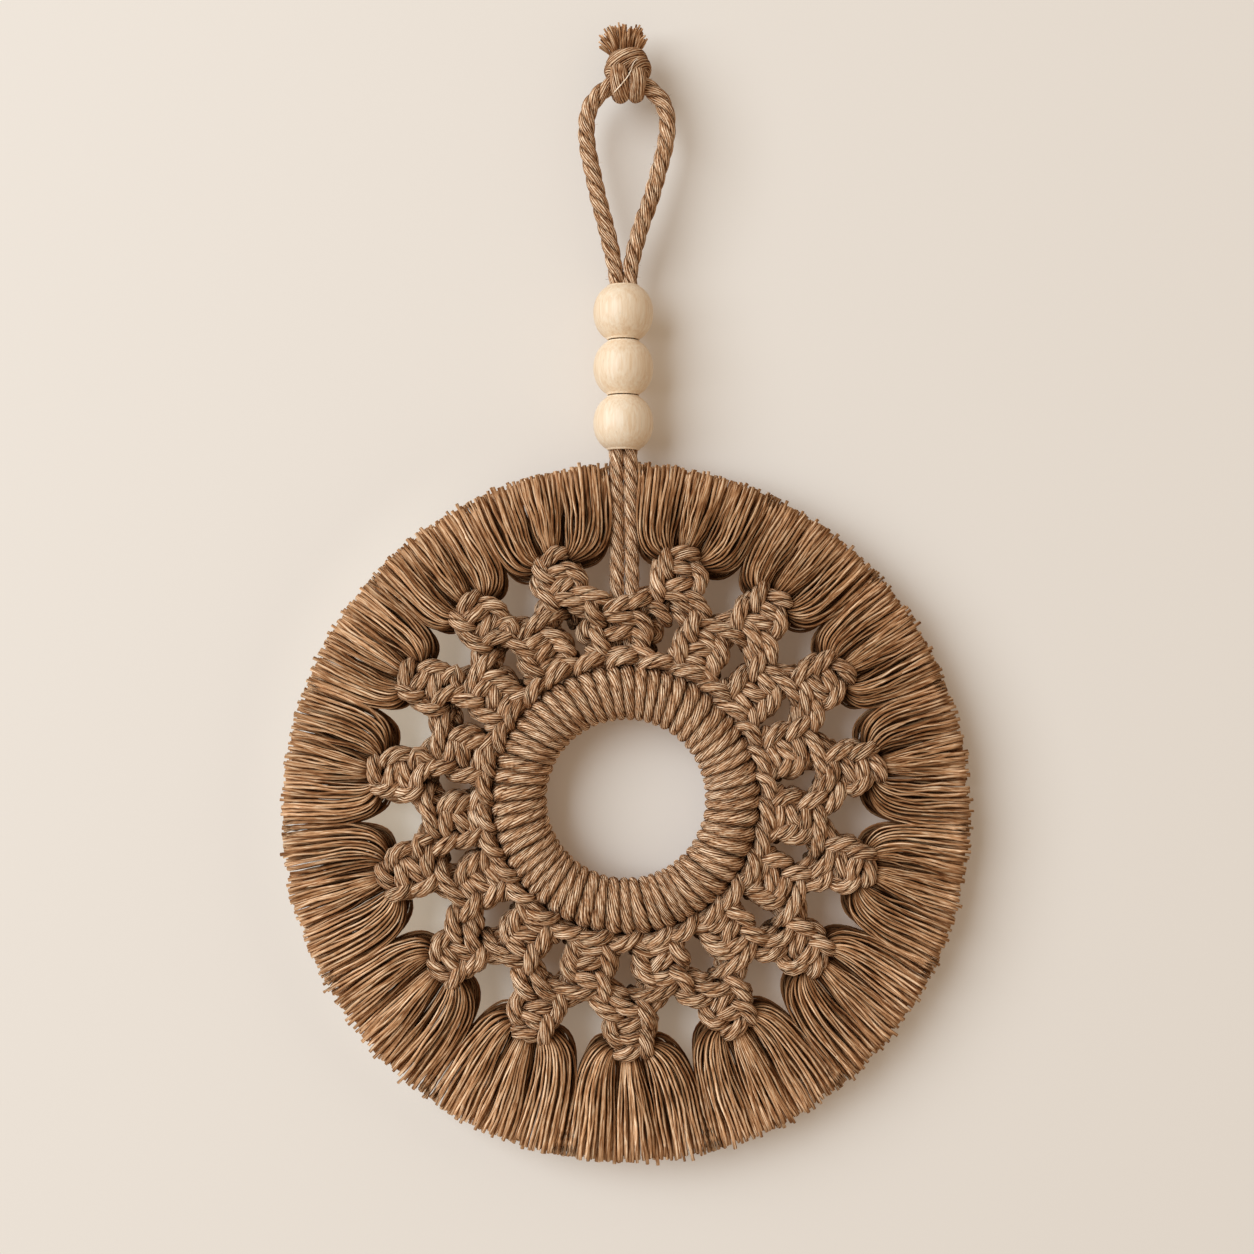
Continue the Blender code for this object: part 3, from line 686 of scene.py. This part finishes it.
@dataclass
class KnottedNet:
    """The net: a lark's head at the ring for each doubled rope, then fifteen inner and outer square knots."""

    finish: Material
    rope: Rope = Rope(radius=2.62, sides=18)
    steps: int = 12
    jitter: float = 0.22  # how far a turn strays from its route
    sway: float = 0.35  # how far a whole turn does
    slim: float = 0.96  # girth of a lark's head against a knot's turns
    under: Pair = (46.3, 2.5)  # the plain rope below the lark's heads, out and towards the viewer

    def build(self) -> None:
        """Makes the net's pieces, first a lark's head below each inner knot and in each space between.

        The first inner knot is the top one, which also holds the hanger.
        """
        after = np.append(INNER[1:], INNER[0] + 360)
        before = np.append(OUTER[-1] - 360, OUTER[:-1])
        homes = np.concatenate([INNER, (INNER + after) / 2])
        out, depth = self.under
        heads = StrandMesh(1)
        for face in Face:
            self._turn(heads, LARKS_HEAD, homes, homes, face, stout=self.slim)
            under = polar(np.linspace(0, 360, 181), out, depth * face.value)[None]
            # The rope below the lark's heads gets painted shade.
            heads.lay_in(under, self.rope, girth=0.62, tone=0, shade=0.7)
        heads.build("larks_heads", self.finish, "net_rope", "knotted_net")
        self._knots("inner_knots", INNER_TURNS, INNER[1:], (OUTER[1:], before[1:]))
        self._knots("top_inner_knot", TOP_TURNS, INNER[:1], (OUTER[:1], before[:1]))
        self._knots("outer_knots", OUTER_TURNS, OUTER, (after, INNER))

    def _knots(self, name: str, turns: dict[str, Route], homes: Array, aways: tuple[Array, Array]) -> None:
        """One piece of knots.

        Args:
            name: the piece's name.
            turns: the turns of rope that make a knot's face.
            homes: the knots' angles.
            aways: the angles of their neighbours on the right, on the front and on the back.
        """
        mesh = StrandMesh(len(name))
        filling = tuple((-across, out, depth) for across, out, depth in turns["filling_left"])
        for face, away in zip(Face, aways):
            for label, route in (turns | {"filling_right": filling}).items():
                if face is Face.FRONT or not label.startswith("filling"):
                    self._turn(mesh, route, homes, away, face, REACHING.get(label, 0))
        mesh.build(name, self.finish, "net_rope", "knotted_net")

    def _turn(
        self,
        mesh: StrandMesh,
        route: Route,
        homes: Array,
        aways: Array,
        face: Face,
        far: int = 0,
        stout: float = 1,
    ) -> None:
        """Lays a turn of rope into every knot at once, thinner and darker with painted shade towards both
        ends, where it dives.

        A point's angle is home + across / out in radians, or away + across / out, and each strays a little.

        Args:
            mesh: the piece.
            route: the turn's points.
            homes: the knots' angles.
            aways: the angles of their neighbours.
            face: the side of the hanging.
            far: how many of the last points are by the neighbour.
            stout: the turn's girth.
        """
        across, out, depth = np.array(route).T / 10
        shape = (3, len(homes), len(route))
        stray = mesh.rng.normal(0, self.jitter, shape) + mesh.rng.normal(0, self.sway, (*shape[:2], 1))
        across, out, depth = across + stray[0], out + stray[1], depth + stray[2] * 0.7
        share = np.arange(len(route)) >= len(route) - far
        angle = homes[:, None] + share * (aways - homes)[:, None] + face.value * np.degrees(across / out)
        path = even_curve(polar(angle, out, depth * face.value), self.steps)
        swell = np.sin(np.linspace(0, np.pi, self.steps))
        girth = stout * (0.7 + 0.32 * swell**0.8)
        # Painted shade, darkest at both ends, where the turn dives under others.
        mesh.lay_in(path, self.rope, girth=girth, tone=0.07, shade=0.2 + 0.8 * swell**0.5)
        mesh.fuzz(path, self.rope, len(homes))


# ---- the fringe


@dataclass(frozen=True)
class Lock:
    """One of a tassel's three bundles of yarns. Each pair is for its left and its right yarn."""

    across: Pair  # where it leaves the knot, across and out
    out: Pair
    bend: Pair  # how far out it turns towards the rim
    spread: Pair  # how far round that is, as a share of the way to the tassel's edge, plus mm
    extra: Pair
    ease: Pair  # how much of the way from the rim it runs straight
    share: Pair  # where it ends along the rim, as a share of the tassel's width


LEFT_LOCK = Lock((-5.8, -4), (80.6, 84), (80.8, 90), (1.12, 0), (0, -6), (22, 14), (0, 0.36))
MIDDLE_LOCK = Lock((-1.9, 2.3), (84.8, 84.8), (90, 90), (0, 0), (-3.3, 3.9), (15, 15), (0.36, 0.64))
RIGHT_LOCK = Lock((4.8, 6.7), (84, 80.2), (90, 80.6), (0, 1.12), (6.2, 0), (14, 22), (0.64, 1))


@dataclass
class Fringe:
    """The rope ends beyond the outer knots, unlaid and combed into yarns and trimmed round."""

    finish: Material
    yarn: Rope = Rope(radius=0.5, sides=6, plies=1, slope=0.25)
    steps: int = 16
    rim: float = 114.3
    rim_drop: float = 4.5  # the rim's centre hangs this far below the ring's
    rim_oval: float = 1.8
    uneven: float = 0.65
    wave: float = 0.5
    # Each layer: how far towards the viewer it lies, as a share of the depth, its yarns and its brightness,
    # with painted shade on the layers inside the bundle.
    layers: tuple[Point, ...] = ((1, 13, 1.25), (0.5, 12, 0.55), (-0.35, 9, 0.6), (-1, 13, 1.25))
    meet: float = 0.25  # how far each tassel reaches past its edges, in degrees
    inset: float = 0.4  # how much shorter a layer in the middle of the depth would be
    fuller: float = 0.7  # how far the inner layers reach into the hollows between locks, as a share of a lock
    rounding: float = 68  # how far round, in degrees, the outermost yarns of a lock face, for their painted shade
    behind: float = 2.8  # how much nearer the ring the back layers turn
    stout: float = 1.15  # girth of the layers behind the front one, which close the gaps between its yarns
    bloom: float = 1.12  # girth of a yarn's cut end, which opens a little
    fade: float = 0.15  # painted light: how much paler the lowest tassels are painted than those at the sides, and the top ones darker
    depths: Point = (3.2, 5.6, 3)  # a bundle's half depth at the knot, half way and at the rim

    def build(self) -> None:
        """Makes the fifteen tassels."""
        for index, sector in enumerate(SECTORS[:, 1:]):
            mesh = StrandMesh(100 + index)
            for lock in (LEFT_LOCK, MIDDLE_LOCK, RIGHT_LOCK):
                for layer in self.layers:
                    self._lay_lock(mesh, sector, lock, *layer)
            node = f"tassel_{index + 1:02d}"
            mesh.build(f"{node}_yarns", self.finish, "tassel_yarn", node)

    def _lay_lock(
        self, mesh: StrandMesh, sector: Array, lock: Lock, side: float, count: int, light: float
    ) -> None:
        """One layer of a lock.

        Each yarn is the cubic (1-t)^3 root + 3 (1-t)^2 t bend + 3 (1-t) t^2 ease + t^3 tip. Across the lock,
        with v from -1 to 1, its depth is side depth(t) sqrt(1 - 0.78 v^2), so that the bundle is round.

        Args:
            mesh: the piece.
            sector: the angles of the outer knot, and of the tassel's left and right edge.
            lock: the bundle.
            side: how far towards the viewer the layer lies, as a share of the depth.
            count: how many yarns it has.
            light: its brightness, with painted shade on the inner layers.
        """
        rng = mesh.rng
        outer, left, right = sector
        place = (np.arange(count) + rng.uniform(0.36, 0.64, count)) / count
        v = 2 * place - 1
        inward = np.where(place < 0.5, lock.share[0] > 0, lock.share[1] < 1)
        spread = place + (place - 0.5) * self.fuller * (1 - abs(side)) * inward

        def between(pair: Pair) -> Array:
            """The value for each yarn, from those of the left and the right one."""
            return pair[0] + (pair[1] - pair[0]) * spread

        behind = self.behind if side < 0 else 0
        root_out = between(lock.out) - behind * 0.6 + rng.normal(0, 0.3, count)
        root_turn = np.degrees(between(lock.across) / root_out)
        start, end = left - self.meet, right + self.meet
        share = lock.share[0] + (lock.share[1] - lock.share[0]) * place
        tip_turn = start - outer + (end - start) * share + rng.normal(0, 0.18, count)
        edge = left if lock is LEFT_LOCK else right
        bend_out = between(lock.bend) - behind + rng.normal(0, 0.5, count)
        bend_turn = (edge - outer) * between(lock.spread) + np.degrees(between(lock.extra) / bend_out)
        turn = np.radians(outer + tip_turn)
        tip_out = self.rim - self.rim_drop * np.cos(turn) + self.rim_oval * np.cos(turn) ** 2
        tip_out += rng.normal(0, self.uneven, count) - 0.45 * self.uneven - self.inset * (1 - abs(side))
        turns = np.stack([root_turn, bend_turn, tip_turn, tip_turn])
        outs = np.stack([root_out, bend_out, tip_out - between(lock.ease), tip_out])
        root, bend, ease, tip = polar(outer + turns, outs, 0.0)[..., None, :]
        along = np.linspace(0, 1, self.steps)
        t = along[:, None]
        path = root * (1 - t) ** 3 + bend * 3 * (1 - t) ** 2 * t + ease * 3 * (1 - t) * t**2 + tip * t**3
        near, full, far = self.depths
        depth = np.interp(along, (0, 0.2, 0.45, 1), (near, full, full, far))
        path[..., 1] -= side * depth * np.sqrt(1 - 0.78 * v**2)[:, None] + rng.normal(0, 0.32, (count, 1))
        path += self._waves(rng, along, turn[:, None])
        # Painted light: tassels towards the lower left are painted paler, those towards the upper right
        # darker.
        light *= 1 - self.fade * np.cos(np.radians(outer - 20))
        # Painted shade at the roots, where the yarns crowd into the knot; every layer reaches the same
        # brightness at its tip.
        shade = np.interp(along, (0, 0.14, 0.75, 1), (0.45 * light, light, light, 1.12))
        girth = (self.stout if side < 1 else 1) * rng.normal(1, 0.08, (count, 1))
        girth = girth * np.interp(along, (0, 0.5, 1), (0.68, 1, self.bloom))
        # The way out of the bundle, for painted shade on the sides of yarns that turn from it; the back
        # layers get less of it.
        lean = np.radians(self.rounding * v)
        facing = [np.sin(lean) * np.cos(turn), -np.sign(side) * np.cos(lean), -np.sin(lean) * np.sin(turn)]
        facing = np.stack(facing, axis=-1)[:, None]
        crowded = np.interp(along, (0, 0.55, 0.95), (1, 1, 0.08)) * (0.6 if side < 0 else 1)
        mesh.lay_in(path, self.yarn, girth=girth, tone=0.13, shade=shade, facing=facing, crowded=crowded)

    def _waves(self, rng: np.random.Generator, t: Array, turn: Array) -> Array:
        """Waves across and in depth: two sines of unlike length for each yarn, growing as t^0.7.

        Args:
            rng: the piece's random numbers.
            t: the share of the way along a yarn, (steps,).
            turn: the angle of each yarn's tip in radians, (yarns, 1).

        Returns:
            What to add to the yarns' points, (yarns, steps, 3).
        """
        shape = (4, len(turn), 1)
        turns = rng.uniform(1, 3, shape)
        phase = rng.uniform(0, 2 * np.pi, shape)
        size = rng.uniform(0.3, 1, shape) * self.wave / 1.6
        sines = size * np.sin(2 * np.pi * turns * t + phase) * t**0.7
        sideways, deep = sines[0] + sines[1], sines[2] + sines[3]
        return np.stack([sideways * np.cos(turn), deep * 0.8, -sideways * np.sin(turn)], axis=-1)


# ---- the hanger


@dataclass
class Hanger:
    """The hanging loop: one rope, doubled, that comes up through the beads and closes in the top knot."""

    finish: Material
    rope: Rope = Rope(radius=2.9, sides=24, line=0.97)
    step: float = 1.1
    squeezed: float = 0.88  # girth below the loop, where the beads press the legs together
    # Height, then where the left and the right leg's centre line is.
    route: Route = (
        (-165.5, -3, 2.05), (-150, -3.05, 1.95), (-135, -3.15, 1.75), (-121, -3.25, 1.45), (-90, -3.25, 1.45),
        (-62, -3.15, 1.35), (-54, -3.9, 1.75), (-42.3, -6.45, 4.65), (-32.3, -9.1, 8.2), (-22.3, -11.3, 11),
        (-15, -12.8, 12.9), (-8, -13.2, 13.8), (-2.6, -12.4, 13.2), (1.4, -10.2, 11.3), (4.8, -6.6, 7.6),
        (7, -3, 4),
    )

    def build(self) -> None:
        """Makes both legs."""
        for side, name in ((1, "hanger_leg_left"), (2, "hanger_leg_right")):
            mesh = StrandMesh(10 + side)
            points = np.array([(row[side], 0, row[0]) for row in self.route])[None]
            path = even_curve(points, int(travelled(points)[0, -1] / self.step))
            girth = np.interp(path[..., 2], (-60, -48), (self.squeezed, 1))
            mesh.lay_in(path, self.rope, girth=girth, tone=0, shade=1.05)
            mesh.fuzz(path, self.rope, 110)
            mesh.build(f"{name}_rope", self.finish, "hanger_rope", name)


@dataclass
class TopKnot:
    """The knot that closes the loop, with the rope's frayed ends and one loose thread that lies over it."""

    finish: Material
    combed: Material  # the ends' finish
    pale: Material  # the loose thread's
    rope: Rope = Rope(radius=2.8, sides=24, lay=70, crease=0.05, slope=0.05, line=0.78)
    yarn: Rope = Rope(radius=0.34, sides=5, plies=1, slope=0.25)
    steps: int = 28
    # Each turn: its thickness against the rope's, then its points, as _route takes them.
    turns: tuple[tuple[float, Route], ...] = (
        (1.1, (
            (-8, 108, 15), (-22, 96, 44), (-23, 60, 50), (-18, 35, 32), (-15, 31, 0), (-21, 42, -34),
            (-24, 75, -42),
        )),
        (1, (
            (22, 108, 15), (36, 96, 42), (39, 60, 48), (35, 32, 30), (33, 28, 0), (35, 42, -34),
            (38, 75, -42),
        )),
        (1, (
            (-36, 102, -30), (-46, 106, 5), (-30, 118, 44), (4, 134, 56), (34, 142, 39), (46, 140, 5),
            (34, 134, -30), (0, 124, -44), (-30, 110, -42),
        )),
        (0.82, ((-46, 124, 5), (-32, 138, 30), (-8, 147, 28), (14, 147, 0))),
        (0.88, ((20, 94, 40), (38, 109, 54), (57, 114, 36), (60, 104, 5), (48, 94, -25))),
        (0.86, ((-18, 90, 36), (-37, 95, 42), (-47, 102, 14), (-42, 110, -20))),
        (1.5, ((9, 29, 0), (8, 80, 0), (6, 120, 0), (4, 130, 0))),
    )
    # Each bundle of ends: roots from left to right, then tips from left to right, as across and up.
    ends: tuple[tuple[Pair, ...], ...] = (
        (
            (-3.9, 15.6), (-0.4, 16), (-8.9, 19.8), (-7.9, 21.6), (-5.6, 23.6), (-3, 24.8), (-0.9, 25.4),
            (0.1, 24.4),
        ),
        (
            (0.2, 16), (3.8, 15.6), (0.4, 22.6), (1.8, 23.7), (4.3, 23.9), (5.7, 22.4), (5.8, 21),
        ),
    )
    loose: Route = (
        (54, 132, 60), (28, 110, 80), (15, 82, 70), (0, 56, 74), (-21, 32, 72), (-39, 16, 58),
    )
    yarns: int = 90

    def build(self) -> None:
        """Makes the knot, its ends and the thread."""
        mesh = StrandMesh(30)
        swell = np.sin(np.linspace(0, np.pi, self.steps))
        for girth, points in self.turns:
            # Painted shade, darker towards both ends of each turn, where it dives into the knot.
            mesh.lay_in(self._route(points), self.rope, girth, tone=0.04, shade=0.42 + 0.54 * swell**0.5)
        mesh.build("top_knot_rope", self.finish, "hanger_rope", "top_knot")
        brush = StrandMesh(32)
        for bundle in self.ends:
            self._fray(brush, np.array(bundle[:2]), np.array(bundle[2:]))
        brush.build("top_knot_ends", self.combed, "hanger_rope", "top_knot")
        thread = StrandMesh(31)
        thread.lay_in(self._route(self.loose), self.yarn, girth=0.65, shade=1.3)
        thread.build("loose_thread", self.pale, "hanger_rope", "top_knot")

    def _route(self, points: Route) -> Array:
        """The curve through points given as across, up and towards the viewer, in tenths of a millimetre."""
        return even_curve(np.array([(x, -depth, z) for x, z, depth in points])[None] / 10, self.steps)

    def _fray(self, mesh: StrandMesh, roots: Array, tips: Array) -> None:
        """A brush of yarn ends, which rise from the knot and lean out towards their tips.

        Args:
            mesh: the piece.
            roots: where its leftmost and rightmost yarns start, as across and up.
            tips: where its yarns end, from left to right.
        """
        rng = mesh.rng
        place = rng.uniform(0, 1, self.yarns)
        root = roots[0] + (roots[1] - roots[0]) * place[:, None]
        grid = np.linspace(0, 1, len(tips))
        tip = np.stack([np.interp(place, grid, tips[:, axis]) for axis in (0, 1)], axis=-1)
        tip += rng.normal(0, 0.5, tip.shape)
        root_depth = rng.uniform(-2.2, 2.2, self.yarns)
        tip_depth = root_depth * 1.7 + rng.normal(0, 0.5, self.yarns)
        middle = root * 0.5 + tip * 0.5 + rng.normal(0, 0.3, tip.shape)
        middle[:, 0] += (root - tip)[:, 0] * 0.12
        middle_depth = (root_depth + tip_depth) / 2 + rng.normal(0, 0.2, self.yarns)
        root[:, 1] -= 1
        flat = np.stack([root, middle, tip], axis=1)
        depth = np.stack([root_depth, middle_depth, tip_depth], axis=1)
        path = even_curve(np.stack([flat[..., 0], -depth, flat[..., 1]], axis=-1), 10)
        # Painted shade at the roots by the knot, brightening towards the tips.
        mesh.lay_in(path, self.yarn, tone=0.25, shade=np.linspace(0.42, 1.12, 10))


@dataclass
class Beads:
    """Three turned barrel beads with flat mouths and a through bore."""

    mouth: float = 5.55
    flank: float = 0.75
    bore: float = 5
    lip: float = 0.5
    turns: int = 96
    steps: int = 40

    def build(self) -> None:
        """Makes the beads, each in its solid's own box."""
        for index, name in enumerate(("bead_top", "bead_middle", "bead_bottom")):
            low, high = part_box(name)
            finish = SandedWood(f"sanded_pale_wood_{index + 1}", 0.37 * index).make()
            tie(self._turned(f"{name}_wood", low / MM, high / MM), finish, "pale_wood", name)

    def _turned(self, name: str, low: Any, high: Any) -> Object:
        """Turns the profile about the bead's axis.

        The flank is radius cos(s)^flank out and tall sin(s) up, nearly an ellipse. At the mouth it goes
        over a lip, up to the bead's full height and into the bore.

        Args:
            name: the piece's name.
            low: the lowest corner of the bead's box.
            high: the highest one.

        Returns:
            The bead.
        """
        radius, half = (high.x - low.x) / 2, (high.z - low.z) / 2
        end = np.arccos((self.mouth / radius) ** (1 / self.flank))
        tall = (half - self.lip) / np.sin(end)
        s = np.linspace(end, -end, self.steps)
        turn = np.linspace(0, np.pi / 2, 5)[1:]
        lip_out = self.mouth - (self.mouth - self.bore) * (1 - np.cos(turn))
        lip_up = half - self.lip * (1 - np.sin(turn))
        out = np.concatenate([radius * np.cos(s) ** self.flank, lip_out, lip_out[::-1]])[:, None]
        up = np.concatenate([tall * np.sin(s), -lip_up, lip_up[::-1]])[:, None]
        angle = 2 * np.pi * np.arange(self.turns) / self.turns
        middle = (low + high) / 2
        rings = (middle.x + out * np.cos(angle), middle.y + out * np.sin(angle), middle.z + up + 0 * angle)
        grid = np.arange(out.size * self.turns).reshape(-1, self.turns)
        below, beside = np.roll(grid, -1, axis=0), np.roll(grid, -1, axis=1)
        corners = np.stack([grid, below, np.roll(below, -1, axis=1), beside], axis=-1).reshape(-1)
        return mesh_object(name, np.stack(rings, axis=-1).reshape(-1, 3), corners, np.full(grid.size, 4))


# ---- the studio


@dataclass
class Studio:
    """The camera, the soft light and a plain backdrop close behind the hanging, with painted light on the
    backdrop behind the tassels. Lengths are in metres.
    """

    distance: float = 0.56
    frame_wide: float = 0.418  # what the picture takes in at the hanging
    aim: Pair = (0.00033, -0.1747)  # across and up
    window: Point = (-2.1, -2.2, 0.62)
    window_size: float = 2.7
    window_power: float = 102.5
    daylight: str = "ECF6FF"
    room_light: str = "FFE6CB"
    room_power: float = 0.45
    room_grey: str = "E9E5E0"
    wall: float = 0.014
    wall_reach: float = 3
    wall_colour: str = "EAE4DC"
    # The colour of the painted light on the backdrop.
    wall_painted_light: str = "E4DFCC"

    def build(self) -> None:
        """Sets up the camera, the lights and the backdrop."""
        scene = bpy.context.scene
        scene.view_settings.view_transform = "Standard"
        lens = bpy.data.cameras.new("camera")
        lens.sensor_width = 36
        lens.lens = lens.sensor_width * self.distance / self.frame_wide
        scene.camera = placed("camera", lens)
        scene.camera.location = (self.aim[0], -self.distance, self.aim[1])
        scene.camera.rotation_euler = (np.pi / 2, 0, 0)
        lamp = bpy.data.lights.new("window", "AREA")
        lamp.size = self.window_size
        lamp.energy = self.window_power
        lamp.color = linear(self.daylight)[:3]
        window = placed("window", lamp)
        window.location = self.window
        aim = scene.camera.location.copy()
        aim.y = 0
        window.rotation_euler = (aim - window.location).to_track_quat("-Z", "Y").to_euler()
        self._backdrop()
        self._room()

    def _room(self) -> None:
        """The room's own warm light. Where the camera looks past the backdrop, it sees a plain pale grey."""
        world = bpy.data.worlds.new("soft_room")
        world.use_nodes = True
        tree = world.node_tree
        glow = tree.nodes["Background"]
        feed(tree, glow, {"Color": linear(self.room_light), "Strength": self.room_power})
        plain = add_node(tree, "Background", linear(self.room_grey))
        both = add_node(tree, "MixShader", add_node(tree, "LightPath"), glow, plain)
        feed(tree, tree.nodes["World Output"], {"Surface": both})
        bpy.context.scene.world = world

    def _backdrop(self) -> None:
        """A wide sheet, which shows from its front alone and blocks no light, so the back can be seen too.

        It glows with painted light where daylight would come through between the tassels, most on the left
        and some below, and a little everywhere. Its glow is inner rim (0.34 left + 0.115 below + 0.02) +
        0.03, where each of the four eases smoothly from 0 to 1.
        """
        reach, y = self.wall_reach, self.wall
        mesh = bpy.data.meshes.new("pale_backdrop")
        corners = [(-reach, y, -reach), (reach, y, -reach), (reach, y, reach), (-reach, y, reach)]
        mesh.from_pydata(corners, [], [(0, 1, 2, 3)])
        made, tree, add, shader = new_material("matt_wall_paint")
        middle = (0, y, RING_Z * MM)
        off = add("VectorMath.SUBTRACT", add("TexCoord").outputs["Object"], middle)
        out = add("VectorMath.LENGTH", off).outputs["Value"]
        x, _, z = add("SeparateXYZ", off).outputs
        edges = ((out, 0.058, 0.074), (out, 0.136, 0.085), (x, -0.02, -0.085), (z, -0.052, -0.084))
        inner, rim, left, below = (add("MapRange", *edge, interpolation_type="SMOOTHSTEP") for edge in edges)
        both = add("Math.MULTIPLY_ADD", below, 0.115, add("Math.MULTIPLY_ADD", left, 0.34, 0.02))
        # Painted light: the backdrop glows though it is no lamp.
        glow = add("Math.MULTIPLY_ADD", add("Math.MULTIPLY", inner, rim), both, 0.03)
        feed(tree, shader, {"Base Color": linear(self.wall_colour), "Roughness": 0.95})
        feed(tree, shader, {"Emission Color": linear(self.wall_painted_light), "Emission Strength": glow})
        behind = add("NewGeometry").outputs["Backfacing"]
        mixed = add("MixShader", behind, shader, add("BsdfTransparent"))
        feed(tree, tree.nodes["Material Output"], {"Surface": mixed})
        mesh.materials.append(made)
        sheet = placed("pale_backdrop", mesh)
        sheet.visible_shadow = False
        sheet.visible_diffuse = False


def main() -> None:
    """Builds the hanging from the ring outwards, then the hanger, and sets the studio round it."""
    logging.basicConfig(level=logging.INFO, format="%(message)s")
    Studio().build()
    ring, net, hanger = (SpunCotton(f"{use}_rope_cotton").make() for use in ("ring", "net", "hanger"))
    combed = SpunCotton(
        "combed_cotton_yarn", "805231", "BD8E64", "E4C4A0", (0.5, 14),
        yarn_pitch=np.pi * Fringe.yarn.radius, yarn_drift=0, ridges=0.45, relief=0.1,
    ).make()
    pale = SpunCotton("loose_pale_yarn", "DDBB95", "F2DCC0", "FFF4E4").make()
    WrappedRing(ring).build()
    KnottedNet(net).build()
    Fringe(combed).build()
    Hanger(hanger).build()
    TopKnot(hanger, combed, pale).build()
    Beads().build()


if __name__ == "__main__":
    main()
